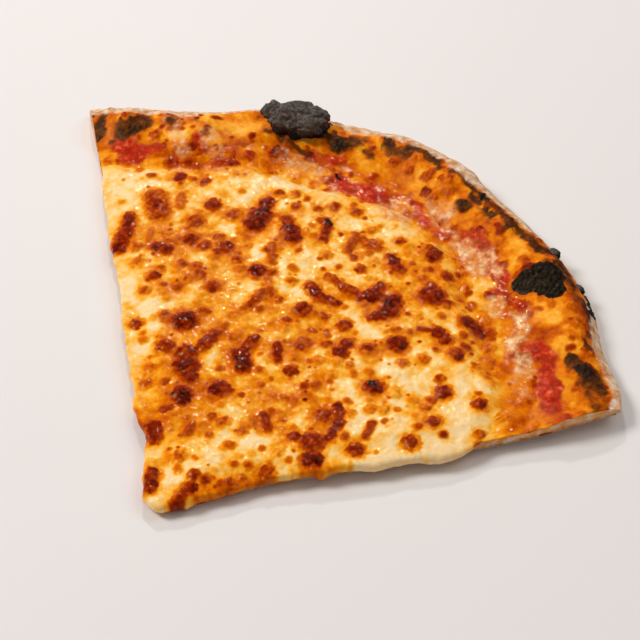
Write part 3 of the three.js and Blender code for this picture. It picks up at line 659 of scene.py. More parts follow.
# %% Scorched crest and floury lip
# Degrees round the pizza; the scorched band's distance in from the rim's edge, half width and strength
crest_band = np.array([
    (-53, 14, 6.5, 0.8), (-46, 14, 4.5, 0.75), (-41, 11, 2, 0.4), (-34, 15, 2, 0.3), (-26, 10, 2.5, 0.35),
    (-8, 16, 3, 0.8), (-1, 14.5, 4.5, 0.62), (5, 14, 4, 0.55), (9, 12.5, 2, 0.65), (14, 16, 3, 0.45),
    (20, 13.5, 3, 0.75), (29, 12.5, 3.4, 0.8), (34, 10, 3, 0.8), (39, 8, 4, 0.8), (46, 5, 2, 0.8),
    (54, 5, 1.6, 0.7), (59, 6, 1.6, 0.6), (64, 8, 3, 0.9), (70, 7, 4, 0.65)]).T
# Degrees round the pizza, and how far in the pale, floury lip reaches
lip_line = np.array([
    (-53, 9.5), (-46, 12), (-41, 10.5), (-36, 12.5), (-30, 8.5), (-22, 8), (-10, 9), (-6, 11.5), (8, 10.5),
    (14, 12.5), (19, 10.5), (26, 8), (34, 6.5), (39, 3.5), (44, 1.5), (49, 3), (56, 5), (70, 3.5)]).T


def scorching_and_shadow():
    middle, half_width, strength = (np.interp(around_grid, crest_band[0], row) for row in crest_band[1:])
    speckle = lumps(4.6, 84) + 0.35 * lumps(1.6, 87)
    band = strength * bell(from_rim + 1.5 * lumps(5, 89) - middle, 1.15 * half_width)
    mottled = band * lerp(0.05, 1.15, smoothstep(speckle, -0.2, 0.3))
    patches = painted(scorch_and_shadow_strokes, soft=1.3, bend=2, bend_size=3.4, seed=91)
    return 1 - (1 - np.clip(mottled, 0, 1)) * (1 - patches)


def floured():
    lip = np.interp(around_grid, *lip_line) + 1.3 * lumps(4.5, 94)
    return fading(from_rim, lip - 2, lip + 1.2) * (0.8 + 0.3 * lumps(2, 97))


def reddened():
    stained = smoothstep(lumps(6, 115), 0.15, 0.55) * fading(from_rim, 36, 44)
    painted_red = painted(red_strokes, soft=0.9, bend=2.6, bend_size=5, seed=104)
    return np.maximum(painted_red, 0.5 * stained * smoothstep(from_rim, 20, 27))


# %% The maps
curds = 1 - cell_distance(*bent(grid_x, grid_y, 0.7, 2.5, 103), 2.8, 101)
# browning raised round scorched and charred places, and round the painted shadow under the big lump
singed_and_shadowed = painted(scorch_and_shadow_strokes + char_strokes, soft=1.7, bend=2.4, bend_size=4, seed=99)
maps = {
    "browning": np.clip(lerp(heat, np.maximum(heat, 0.58), 0.8 * singed_and_shadowed), 0, 1),
    "red": reddened(),
    "milky": painted(milky_strokes, soft=1.2, bend=2.6, bend_size=4.5, seed=107) * (0.5 + 0.55 * curds),
    "scorch_and_shadow": scorching_and_shadow(),
    "char": painted(char_strokes, soft=0.35, bend=1.4, bend_size=2.8, seed=111),
    "flour": np.clip(floured(), 0, 1),
    "dry": fading(from_rim + 3 * lumps(6, 114), 4, 24),
}
print("maps:", ", ".join(maps))

# %% [markdown]
# ## Heights
# The height of each layer is a sum of causes: the puffed rim, the bubble, the cutter's pressure, and the
# curl of a drying edge. It could be sculpted by hand, but a sum can be shared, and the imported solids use
# the same one. What they leave out is added here: blisters, wrinkles, crusty char and small bumps. Sauce
# and cheese run out to nothing at their outer edges, so there is no step where one layer ends on another.

# %% Heights of the dough
# x, y, radius and height of the swellings on the rim
rim_domes = [
    (53, 151, 9, 2.2), (46, 150, 5, 1.2), (59, 147, 5, 1.2), (81, 118, 7, 1.1), (-118, 148, 8, 1),
    (-44, 179, 5, 1.3), (-14, 187, 5, 0.8), (12, 171, 5, 1), (32, 168, 5, 1), (-107, 156, 5, 0.8),
]


def underside(x, y):
    """Flat on the plate, and curled up along the right cut."""
    along, inside = from_cut(right_cut, x, y)
    near_cut, near_corner = (
        np.maximum(1 - np.maximum(inside, 0) / width, 0) ** 2
        for width in (curl["cut_width"], curl["corner_width"])
    )
    cut_rise = smoothstep(along, curl["cut_width"] / 2, 2 * curl["cut_width"])
    corner_rise = smoothstep(along, curl["start"], curl["end"])
    return curl["cut"] * near_cut * cut_rise + curl["corner"] * near_corner * corner_rise


def rim_height(x, y):
    from_edge = inset(x, y)
    full = 1 - rim_ends["loss"] * bell(np.maximum(inside_cuts(x, y), 0), rim_ends["width"])
    crest = dough["crest"] * full + sum_of(crest_swells, bearing_round(x, y)) + 1.3 * unevenness(x, y, 26, 3)
    climb = 1 - (1 - np.maximum(from_edge, 0) / dough["crest_inset"]) ** 2
    down = np.clip((from_edge - dough["crest_inset"]) / (dough["rim_width"] - dough["crest_inset"]), 0, 1)
    inner = lerp(dough["thick"], crest, 0.5 + 0.5 * np.cos(math.pi * down))
    return np.where(from_edge < dough["crest_inset"], lerp(dough["lip"], crest, climb), inner)


# %% Bubble and swellings of the dough
def bubble_height(x, y):
    turn = math.atan2(bubble["x"] - pizza["x"], bubble["y"] - pizza["y"])
    dx, dy = x - bubble["x"], y - bubble["y"]
    outwards = dx * math.sin(turn) + dy * math.cos(turn)
    around = dx * math.cos(turn) - dy * math.sin(turn)
    across = np.where(outwards < 0, bubble["inner"], bubble["outer"])
    return bubble["rise"] * bell(around, bubble["along"]) * bell(outwards, across)


def dome(x, y, centre_x, centre_y, radius, height):
    share = np.minimum(np.hypot(x - centre_x, y - centre_y) / radius, 1)
    return height * (1 - share ** 2) ** 2


def pressing(x, y):
    """How hard the cutter pressed: 1 at a cut, 0 further in."""
    return fading(inside_cuts(x, y), 0, pressed)


def dough_top(x, y):
    rim = rim_height(x, y)
    press = pressing(x, y) * (dough["thick"] - dough["at_cut"]) * (rim / dough["thick"])
    on_rim = fading(inset(x, y), sauce["inset"] - thinning, sauce["inset"])
    domes = sum(dome(x, y, *rim_dome) for rim_dome in rim_domes)
    uneven = 0.5 * unevenness(x, y, 7, 5) + 0.3 * unevenness(x, y, 4, 6)
    return underside(x, y) + rim - press + bubble_height(x, y) + on_rim * (domes + uneven)


# %% Skin of the dough
def dough_relief():
    """The baked skin: crusty char, flakes and small blisters, where the dough is bare."""
    crusty = 0.6 - 1.2 * cell_distance(grid_x, grid_y, 1.7, 121)
    burnt = 1.5 * maps["char"] * crusty + 0.35 * maps["scorch_and_shadow"] * (crusty + lumps(1.2, 124))
    fine = 0.12 * lumps(1.6, 127) + 0.12 * np.maximum(lumps(2.6, 131), 0)
    return fading(from_rim, *slope_foot) * (burnt + fine * smoothstep(from_rim, 0, 2) + rise)


dough_map = dough_top(grid_x, grid_y) + dough_relief()
print("crest of the rim, mm:", round(float(dough_map[inside_cuts(grid_x, grid_y) > 0].max()), 1))

# %% Heights of the sauce and the cheese
touching = 0.04  # mm between the layers
tuck = 0.3  # how far a layer's outer edge dips under the surface it ends on, so that no edge shows
bed_tuck = 1.3  # the same for its underside, as a multiple
sauce_fade, cheese_fade = 6, 9  # mm over which a layer comes up from its edge
thinnest_cheese = 0.3


def edge_fade(edge, width):
    """How far a layer has come up, from 0 on its own edge, and how far its edge is tucked in."""
    inside = from_rim - edge(around_grid)
    return smoothstep(inside, -0.05, width), tuck * fading(inside, 0, 1.8)


def layer_thickness(layer):
    share = smoothstep(from_rim, layer["inset"] - thinning / 4, layer["inset"] + thinning)
    return lerp(layer["at_edge"], layer["thick"], share)


def sauce_heights():
    fade, tucked = edge_fade(sauce_end, sauce_fade)
    pulp = 0.3 * lumps(4, 141) + 0.1 * lumps(1.6, 144) + 0.8 * rise
    bare = fading(from_rim, cheese["inset"] + 2, cheese["inset"] + 8)
    return dough_map + touching - tucked + fade * (gap + layer_thickness(sauce) + bare * pulp)


def cheese_heights():
    fade, tucked = edge_fade(cheese_end, cheese_fade)
    thick = layer_thickness(cheese) * (1 - cheese["loss_at_cut"] * pressing(grid_x, grid_y))
    shrivelled = 0.14 * lumps(1, 154)
    full = smoothstep(from_rim, cheese["inset"], cheese["inset"] + thinning)
    uneven = full * (0.35 * unevenness(grid_x, grid_y, 9, 1) + 0.2 * unevenness(grid_x, grid_y, 4.5, 2))
    curdled = 0.26 * lumps(2.4, 157, 2) + 0.12 * lumps(1.2, 161, 2)
    melt = curdled - 0.2 * patches + 0.7 * maps["milky"] * (curds - 0.4)
    top = thick + rise + shrivelled * smoothstep(heat, 0.58, 0.85) + uneven + melt
    return sauce_map + touching - tucked + fade * (gap + np.maximum(top, thinnest_cheese))


sauce_map = sauce_heights()
cheese_map = cheese_heights()
sauce_bed = dough_map + touching / 2 - bed_tuck * edge_fade(sauce_end, sauce_fade)[1]
cheese_bed = sauce_map + touching / 2 - bed_tuck * edge_fade(cheese_end, cheese_fade)[1]
print("mean cheese, mm:", round(float((cheese_map - sauce_map)[under_cheese].mean()), 1))

# %% [markdown]
# ## Meshes in rows
# Each layer is a closed skin: rows of vertices for its top and its underside, and rings round its edge.
# A polar grid would be simpler, but its cells shrink to slivers at the tip. So a row gets as many vertices
# as its length asks for, and cells keep one size from the narrow tip to the wide rim. Neighbouring rows
# are joined by stepping along whichever row lags behind. Every vertex also remembers its plan place, and
# that is where the maps are read for the shaders.

# %% Skin builder
class Skin:
    def __init__(self):
        self.places, self.heights, self.faces, self.sides, self.count = [], [], [], [], 0

    def row(self, at, x, y, z, side):
        """Adds a row of vertices; `at` is each one's place along the row, `side` 0 top, 1 underside."""
        self.places.append(np.stack([x, y], 1))
        self.heights.append(z)
        self.sides.append(np.broadcast_to(np.asarray(side, float), np.shape(x)))
        ids = range(self.count, self.count + len(x))
        self.count += len(x)
        return list(zip(np.asarray(at).tolist(), ids))

    def bridge(self, near_row, far_row, face_down=False):
        i = j = 0
        last_near, last_far = len(near_row) - 1, len(far_row) - 1
        while i < last_near or j < last_far:
            next_near = near_row[i + 1][0] if i < last_near else math.inf
            next_far = far_row[j + 1][0] if j < last_far else math.inf
            step_near = next_near + near_row[i][0] <= next_far + far_row[j][0]
            third = near_row[i + 1][1] if step_near else far_row[j + 1][1]
            face = (near_row[i][1], third, far_row[j][1])
            self.faces.append(face[::-1] if face_down else face)
            if step_near:
                i += 1
            else:
                j += 1


# %% Sheets and rings
def row_places(line, size, pull=0):
    ends = np.stack(plan_point([0, 0.5, 1], line), 1)
    width = np.linalg.norm(ends[1:] - ends[:-1], axis=1).sum()
    across = np.linspace(0, 1, max(3, round(width / size)) + 1)
    x, y = plan_point(across, line)
    share = pull / pizza["radius"]
    return across, lerp(x, pizza["x"], share), lerp(y, pizza["y"], share)


def add_sheet(skin, bands, height, side, pull_last=0):
    """Rows from the tip to an outer line; each band is (its outer line, mesh size)."""
    steps, start = [(0, bands[0][1])], 0
    for end, size in bands:
        ends = np.stack(plan_point(0.5, [start, end]), 1)
        count = max(1, round(float(np.linalg.norm(ends[1] - ends[0])) / size))
        steps += [(lerp(start, end, (i + 1) / count), size) for i in range(count)]
        start = end
    rows = []
    for i, (line, size) in enumerate(steps):
        across, x, y = row_places(line, size, pull_last if i == len(steps) - 1 else 0)
        rows.append(skin.row(across, x, y, height(x, y), side))
    for near_row, far_row in zip(rows, rows[1:]):
        skin.bridge(near_row, far_row, face_down=side == 1)
    shares = [line / start for line, _ in steps]
    left = [(share, row[0][1]) for share, row in zip(shares, rows)]
    outer = [(1 + at, vertex) for at, vertex in rows[-1][1:]]
    right = [(3 - share, row[-1][1]) for share, row in zip(shares[:-1], rows[:-1])]
    blunt = [(4 - at, vertex) for at, vertex in rows[0][:-1]]
    return left + outer + right[::-1] + blunt[::-1]


# %% Rings round a sheet
def boundary(at, outer_line):
    """Plan points round a sheet: left cut 0..1, outer edge 1..2, right cut 2..3, tip 3..4."""
    at = np.mod(at, 4)
    across = np.select([at < 1, at < 2, at < 3], [0 * at, at - 1, 0 * at + 1], 4 - at)
    line = np.select([at < 1, at < 2, at < 3], [at, 0 * at + 1, 3 - at], 0) * outer_line
    return plan_point(across, line)


def boundary_out(at, outer_line, step=0.012):
    (x1, y1), (x0, y0) = boundary(at + step, outer_line), boundary(at - step, outer_line)
    length = np.hypot(x1 - x0, y1 - y0)
    return -(y1 - y0) / length, (x1 - x0) / length


def ring_places(outer_line, size):
    places = []
    for side in range(4):
        x, y = boundary(side + np.linspace(0, 0.999, 60), outer_line)
        count = max(2, round(float(np.hypot(np.diff(x), np.diff(y)).sum()) / size))
        places += [side + i / count for i in range(count)]
    return np.array(places)


def add_ring(skin, places, x, y, z, side):
    ring = skin.row(places, x, y, z, side)
    return ring + [(4, ring[0][1])]


# %% [markdown]
# A mesh stores the maps as attributes on its vertices, and the shaders read them by name. Only the top
# was near the flames. A cut shows pale crumb between a browned top and a browned foot. The rim's wall is
# a dusty skin, and the underside lay on hot stone, which leaves the brown spots that bakers call leopard
# spots.

# %% From a skin to a mesh object
def marks_at(x, y, side):
    """Every map's value at vertices. `side` is 0 on top, 0.3 to 0.7 down a wall and 1 on the underside."""
    top, wall = side < 0.25, side < 0.75
    by_side = lambda on_top, on_wall, below: np.select([top, wall], [on_top, on_wall], below)
    values = {name: np.where(top, read(chart, x, y), 0) for name, chart in maps.items()}
    on_rim = fading(inset(x, y), 0, 6)
    crumb = 0.24 + 7 * (side - 0.48) ** 2 + 0.16 * layered(x, y, 3, 181)
    skin = 0.3 + 0.3 * layered(x, y, 6, 182) + 0.6 * np.maximum(side - 0.5, 0)
    dusty = 0.5 + 0.5 * smoothstep(layered(x, y, 11, 193) + 0.4 * layered(x, y, 3.5, 194), -0.35, 0.3)
    leopard = smoothstep(layered(x, y, 7, 184) + 0.35 * layered(x, y, 2.4, 187), 0.15, 0.42)
    stone = lerp(0.36, 0.78, leopard)
    wall_flour = lerp(0.62 - 1.2 * np.abs(side - 0.48), 0.85 * dusty, on_rim)
    wall_scorch = 0.5 * on_rim * leopard * (side > 0.4)
    values["browning"] = by_side(values["browning"], lerp(crumb, skin, on_rim), stone)
    values["flour"] = by_side(values["flour"], wall_flour, 1 - leopard)
    values["scorch_and_shadow"] = by_side(values["scorch_and_shadow"], wall_scorch, leopard)
    values["dry"] = np.where(top, values["dry"], 1)
    values["grains"] = np.where(wall & (side < 0.6), values["flour"], 0)
    values["crumbs"] = np.where(top, values["scorch_and_shadow"], 0)
    return values


def make_piece(name, skin, material):
    places = np.concatenate(skin.places)
    points = np.column_stack([places + np.array(tip_place), np.concatenate(skin.heights)]) * MM
    mesh = bpy.data.meshes.new(name)
    mesh.vertices.add(len(points))
    mesh.vertices.foreach_set("co", points.ravel())
    faces = np.array(skin.faces, np.int32)
    mesh.loops.add(faces.size)
    mesh.loops.foreach_set("vertex_index", faces.ravel())
    mesh.polygons.add(len(faces))
    mesh.polygons.foreach_set("loop_start", np.arange(0, faces.size, 3, dtype=np.int32))
    mesh.update(calc_edges=True)
    mesh.shade_smooth()
    for map_name, values in marks_at(places[:, 0], places[:, 1], np.concatenate(skin.sides)).items():
        attribute = mesh.attributes.new(map_name, "FLOAT", "POINT")
        attribute.data.foreach_set("value", values.astype(np.float32))
    mesh.materials.append(material)
    piece = add_object(name, mesh)
    print(name, "triangles:", len(faces), "highest, mm:", round(float(points[:, 2].max()) / MM, 1))
    return piece


# %% [markdown]
# ## Finishes
# Dough, sauce and cheese share one colour: heat plus a fine grain picks a colour from a ramp that runs
# from raw over golden and orange to burnt, and flour, sauce, milky cheese, scorching and char are laid
# over it. So a layer's edge shows as a form, not as a change of paint. Painted image textures could carry
# the colours, but the maps already say where each belongs. What differs is the surface: dough is dry with
# fine pits, and sauce and cheese are wet with soft bumps. All three let a little light in.

# %% Shader helpers
def material_tree(name):
    material = bpy.data.materials.new(name)
    material.use_nodes = True
    tree = material.node_tree
    tree.nodes.clear()
    return material, tree


def object_noise(tree, size_mm, detail=3, roughness=0.6):
    """Noise on object coordinates with lumps about `size_mm` across."""
    place = add_node(tree, "ShaderNodeTexCoord").outputs["Object"]
    return add_node(
        tree, "ShaderNodeTexNoise",
        {"Vector": place, "Scale": 1 / (size_mm * MM), "Detail": detail, "Roughness": roughness},
    ).outputs["Fac"]


def jittered(tree, value, noise_value, amount):
    """value + amount * (noise - 0.5)"""
    shift = add_node(tree, "ShaderNodeMath", {0: noise_value, 1: amount, 2: -amount / 2},
                     operation="MULTIPLY_ADD").outputs[0]
    return add_node(tree, "ShaderNodeMath", {0: value, 1: shift}, operation="ADD").outputs[0]


# %% Colour of baked food
# Heat, and the colour of dough or cheese at it
baking = [
    (0.0, "#FFDAA2"), (0.12, "#FFC870"), (0.24, "#FFAE30"), (0.36, "#EE8A08"), (0.47, "#DC6A02"),
    (0.58, "#BA4C00"), (0.68, "#A43200"), (0.78, "#861E00"), (0.88, "#660F00"), (1.0, "#2C0600")]
# What is laid over it: the shades of each, by a noise
toppings = {
    "red": [(0.3, "#7C1006"), (0.43, "#A8200E"), (0.56, "#C83418"), (0.7, "#E8703C")],
    "milky": [(0.3, "#C8662C"), (0.45, "#E89A5C"), (0.6, "#F8C890"), (0.75, "#FFE2B8")],
    "scorch_and_shadow": [(0.3, "#24110A"), (0.5, "#4C230C"), (0.7, "#80400F")],
    "flour": [(0.3, "#B07C52"), (0.45, "#D4A47A"), (0.6, "#E8C8AA"), (0.75, "#F4E4D4")],
    "char": [(0.34, "#080505"), (0.5, "#191210"), (0.62, "#33261F"), (0.76, "#5E4E44")],
}
# For each: the noise that breaks up its edge, how much of it, and where the edge starts and ends
edges = {
    "flour": ("pulp", 0.9, 0.15, 0.8), "red": ("pulp", 0.9, 0.2, 1.0), "milky": ("pulp", 0.8, 0.15, 1.1),
    "scorch_and_shadow": ("pulp", 0.8, 0.28, 0.85), "char": ("fine", 0.5, 0.35, 0.7)}


def baked_colour(tree):
    noises = {"fine": object_noise(tree, 1.2, 4), "pulp": object_noise(tree, 2.8, 4)}
    browning = add_node(tree, "ShaderNodeAttribute", attribute_name="browning").outputs["Fac"]
    heated = jittered(tree, jittered(tree, browning, noises["fine"], 0.26), noises["pulp"], 0.14)
    painted_so_far = add_node(tree, "ShaderNodeValToRGB", {"Fac": heated}, stops=baking).outputs[0]
    for name, stops in toppings.items():
        source, amount, low, high = edges[name]
        value = add_node(tree, "ShaderNodeAttribute", attribute_name=name).outputs["Fac"]
        share = add_node(tree, "ShaderNodeMapRange", {
            "Value": jittered(tree, value, noises[source], amount), "From Min": low, "From Max": high,
        }, interpolation_type="SMOOTHSTEP")
        shades = add_node(tree, "ShaderNodeValToRGB", {"Fac": noises[source]}, stops=stops)
        painted_so_far = add_node(tree, "ShaderNodeMix", {
            0: share.outputs[0], 6: painted_so_far, 7: shades.outputs[0]}, data_type="RGBA").outputs[2]
    return painted_so_far, noises


# %% Finish of baked food
def food_finish(name, grain_mm, grain_detail, grain_depth, wet, dull, shine, light_in):
    """A baked surface: its grain, roughness from wet to dull, shine, and how far light gets in (mm)."""
    material, tree = material_tree(name)
    food_colour, noises = baked_colour(tree)
    dry = add_node(tree, "ShaderNodeAttribute", attribute_name="dry").outputs["Fac"]
    gloss = add_node(tree, "ShaderNodeMapRange", {"Value": dry, "To Min": wet, "To Max": dull}).outputs[0]
    bump = add_node(tree, "ShaderNodeBump", {
        "Height": object_noise(tree, grain_mm, grain_detail), "Strength": 0.8, "Distance": grain_depth * MM})
    shader = add_node(tree, "ShaderNodeBsdfPrincipled", {
        "Base Color": food_colour, "Roughness": jittered(tree, gloss, noises["pulp"], 0.1), "IOR": 1.46,
        "Normal": bump.outputs[0], "Specular IOR Level": shine,
        "Specular Tint": colour("#FFDE8C"), "Subsurface Weight": 0.12,
        "Subsurface Scale": light_in * MM, "Subsurface Radius": (1.0, 0.5, 0.2)})
    add_node(tree, "ShaderNodeOutputMaterial", {"Surface": shader.outputs[0]})
    return material


# %% Oven-baked dough, cooked sauce and browned mozzarella
# Wheat dough browned by an oven: a matt skin with fine pits, a little oily towards the sauce.
baked_dough = food_finish("oven_baked_dough", 1.0, 4, 0.24, wet=0.18, dull=0.8, shine=0.1, light_in=0.8)
# Tomato pulp cooked under the cheese: wet, with soft bumps.
moist = {"wet": 0.09, "dull": 0.45, "shine": 0.15, "light_in": 1.0}
cooked_sauce = food_finish("cooked_tomato_sauce", 1.9, 1.5, 0.34, **moist)
# Melted milk fat and protein under a film of oil: glossy, and dark and wrinkled where a bubble dried out.
browned_cheese = food_finish("browned_mozzarella", 1.8, 1.5, 0.36, **moist)

# %% Charred crust
# Dough burnt to carbon and matt all over. Grey-brown on top and black below: partly the char's own ash and
# black, partly painted light on top and painted shade below.
charred_crust, tree = material_tree("charred_crust")
ash = object_noise(tree, 1.4, 5, 0.7)
# the lighter ramp is ash with painted light for the top; the darker one is black char with painted shade for
# the lower side
ash_and_lit_top_ramp = add_node(tree, "ShaderNodeValToRGB", {"Fac": ash}, stops=[
    (0.3, "#2A2320"), (0.48, "#4C423C"), (0.6, "#6A5E56"), (0.74, "#96887E")])
soot_and_shade_ramp = add_node(tree, "ShaderNodeValToRGB", {"Fac": ash}, stops=[
    (0.35, "#060404"), (0.6, "#1A1110"), (0.78, "#3A1C10")])
soot_and_shade = add_node(tree, "ShaderNodeAttribute", attribute_name="soot_and_shade").outputs["Fac"]
below = add_node(tree, "ShaderNodeMapRange", {
    "Value": jittered(tree, soot_and_shade, object_noise(tree, 3, 3), 0.7), "From Min": 0.2, "From Max": 0.8,
}, interpolation_type="SMOOTHSTEP")
char_colour = add_node(tree, "ShaderNodeMix", {
    0: below.outputs[0], 6: ash_and_lit_top_ramp.outputs[0], 7: soot_and_shade_ramp.outputs[0]}, data_type="RGBA").outputs[2]
char_bump = add_node(tree, "ShaderNodeBump", {"Height": ash, "Strength": 0.8, "Distance": 0.35 * MM})
shader = add_node(tree, "ShaderNodeBsdfPrincipled", {
    "Base Color": char_colour, "Roughness": 0.6, "IOR": 1.5, "Specular IOR Level": 0.12,
    "Normal": char_bump.outputs[0]})
add_node(tree, "ShaderNodeOutputMaterial", {"Surface": shader.outputs[0]})

# %% [markdown]
# ## The dough
# On the real slice the dough is the rim and the base. Its top is fine where it shows and coarser under
# the cheese. The rim's wall is a stack of rings that bulge a little and tuck in where it meets the plate.
# A displaced plane could make the top, but not the underside, nor the wall that a cut lays bare.

# %% Dough
on_rim_wall = lambda at: smoothstep(at, 1 - corner_share, 1) * fading(at, 2, 2 + corner_share)
# Share of the wall's height, and the wall's bulge there
wall_profile = [(0.86, 0.35), (0.68, 0.62), (0.5, 0.7), (0.32, 0.45), (0.16, -0.1), (0.05, -0.8)]
fullest = max(bulge for _, bulge in wall_profile)
cut_hollow = 0.15  # mm that a cut's wall draws in
dough_skin = lambda x, y: read(dough_map, x, y)


def make_dough():
    skin = Skin()
    top = add_sheet(skin, [(0.86, 2.2), (sauce_edge, 0.8), (rim_edge, 0.52)], dough_skin, 0)
    bottom = add_sheet(skin, [(rim_edge, 2.4)], underside, 1, foot_inset)
    places = ring_places(rim_edge, 0.6)
    x, y = boundary(places, rim_edge)
    out_x, out_y = boundary_out(places, rim_edge)
    low, high = underside(x, y), dough_skin(x, y)
    rings = [top]
    for rise_share, bulge in wall_profile:
        rough = 0.3 * layered(x * 1.2 + 31 * rise_share, y * 1.2, 2.6, 171)
        rough = rough + 0.18 * layered(x + 9 * rise_share, y, 1.1, 174)
        belly = lerp(-cut_hollow, rim_belly * bulge / fullest, on_rim_wall(places))
        offset = belly + rough * 0.8 - 0.2
        rings.append(add_ring(
            skin, places, x + out_x * offset, y + out_y * offset, lerp(low, high, rise_share),
            0.7 - 0.4 * rise_share))
    rings.append(bottom)
    for near_ring, far_ring in zip(rings, rings[1:]):
        skin.bridge(near_ring, far_ring)
    return skin


pizza_dough = make_piece("pizza_dough", make_dough(), baked_dough)

# %% [markdown]
# ## The sauce
# The sauce runs through the slice. It shows in a band inside the rim and as a thin line at the cuts. It
# could be paint on the dough, but only a layer with a top and an underside has an edge to show.

# %% Sauce
def make_sauce():
    skin = Skin()
    top = add_sheet(skin, [(0.88, 2.2), (sauce_edge, 0.6)], lambda x, y: read(sauce_map, x, y), 0)
    bottom = add_sheet(skin, [(0.88, 2.2), (sauce_edge, 0.8)], lambda x, y: read(sauce_bed, x, y), 1)
    skin.bridge(top, bottom)
    return skin


tomato_sauce = make_piece("tomato_sauce_layer", make_sauce(), cooked_sauce)

# %% [markdown]
# ## The cheese
# Melted cheese rolls over each cut and sags below it in a few places. Its edge is a profile in ten steps,
# from the underside out and round to the top. The top carries the blisters. A cloth simulation could make
# the sags, but a profile drawn round the edge puts each one exactly where it belongs.

# %% Edge of the cheese
# Cut, mm along it, spread, extra overhang, drop below the layer
sags = [
    ("right", 88, 7, 2.4, 1.4), ("right", 64, 5, 1.2, 1.2), ("right", 76, 12, 0.5, 0.8),
    ("right", 49, 3, 0.8, 1.6), ("right", 3, 9, 0.8, 1), ("left", 5, 9, 0.8, 1), ("left", 34, 5, 0.7, 0.5),
    ("left", 56, 4, 0.9, 0.6), ("left", 81, 5, 0.7, 0.5), ("left", 120, 14, 0.5, 0.4),
]
lip = {"out": 1.1, "drop": 0.9, "clear": 0.5}  # mm
lowest = 0.05  # mm above the plate that a sag may reach
# Share of the small bulge at the outer edge, and at a cut the shares of overhang, drop and height
outer_bulge = 0.2
edge_profile = np.array([
    (0.12, 0, 0, 0), (0.2, 0.04, 0.6, 0), (0.3, 0.1, 1, 0), (0.4, 0.45, 1.05, 0.0), (0.5, 0.74, 1, 0.05),
    (0.6, 0.92, 0.8, 0.2), (0.65, 1, 0.45, 0.42), (0.58, 0.93, 0.2, 0.62), (0.45, 0.7, 0.05, 0.82),
    (0.25, 0.36, 0, 0.95),
])


def overhang(at, x, y):
    from_end = np.maximum(1 - at, at - 2)
    on_cut = smoothstep(from_end, 0.03, 0.1)
    out, drop = np.full(len(at), lip["out"]), np.full(len(at), lip["drop"])
    on_left = (at < 1) | (at > 3.5)
    for side, place, spread, extra, fall in sags:
        cut = left_cut if side == "left" else right_cut
        share = bell(from_cut(cut, x, y)[0] - place, spread) * (on_left == (side == "left"))
        out, drop = out + extra * share, drop + fall * share
    return on_cut, out, drop + 0.8 * layered(x, y, 5, 215)


# %% Cheese
def make_cheese():
    skin = Skin()
    top_height = lambda x, y: read(cheese_map, x, y)
    bed = lambda x, y: read(cheese_bed, x, y)
    top = add_sheet(skin, [(cheese_edge, 0.48)], top_height, 0)
    bottom = add_sheet(skin, [(0.85, 2.6), (cheese_edge, 1.1)], bed, 1)
    places = ring_places(cheese_edge, 0.6)
    x, y = boundary(places, cheese_edge)
    out_x, out_y = boundary_out(places, cheese_edge)
    on_cut, out, drop = overhang(places, x, y)
    wander = 0.7 * layered(x, y, 6, 211) + 0.4 * layered(x, y, 2.2, 214)
    low, high = bed(x, y), top_height(x, y)
    rings = [bottom]
    for plain, share, fall, rise_share in edge_profile:
        offset = lerp(plain * outer_bulge, lip["clear"] + share * (out + wander), on_cut)
        z = np.maximum(lerp(low, high, rise_share) - fall * drop * on_cut, lowest)
        rings.append(add_ring(skin, places, x + out_x * offset, y + out_y * offset, z, 0))
    rings.append(top)
    for near_ring, far_ring in zip(rings[::-1], rings[-2::-1]):
        skin.bridge(near_ring, far_ring)
    return skin


melted_cheese = make_piece("melted_cheese_layer", make_cheese(), browned_cheese)

# %% [markdown]
# ## Charred lumps
# Where a bubble of dough stood up in the oven it burnt to a black lump with a skin like cauliflower. Each
# is a ball of small faces, pushed in and out by large low swellings and by small cells, then stretched.
# Displace modifiers could do that, one for each kind of relief, but here the four kinds are one sum. A
# larger lump gets more faces. Its colour runs from grey-brown on top to black on its lower side: partly the
# char's own ash and black, partly painted light on the top and painted shade below. A small lump is black
# nearly all over.

# %% Charred lumps
# Centre, half sizes and turn in degrees
char_lumps = [
    ((-61.5, 179, 12), (11.6, 7.5, 6.9), 20), ((-74.3, 180.2, 10.5), (5, 4.6, 4.4), 0),
    ((50.8, 167, 7.2), (2.3, 2.1, 2.0), 0), ((65, 155, 6), (2.6, 2.2, 2.2), 0),
]


def lump_relief(p, seed):
    """Growth of a ball of radius 1: the solid's large swellings, then a finer skin."""
    swellings = unevenness(p[:, 0] + p[:, 2], p[:, 1] - p[:, 2], 0.55, seed)
    swellings = swellings + unevenness(p[:, 0], p[:, 2], 0.3, seed + 1) / 2
    shift = Vector((seed, 2 * seed, 3 * seed))
    humps = np.array([noise.noise(Vector(place) / 0.7 + shift) for place in p])
    knobs = np.array([0.5 - noise.voronoi(Vector(place) / 0.38 + shift)[0][0] for place in p])
    pits = np.array([noise.fractal(Vector(place) / 0.16 + shift, 0.9, 2, 4) for place in p])
    return 0.15 * swellings + 0.16 * humps + 0.22 * knobs + 0.05 * pits


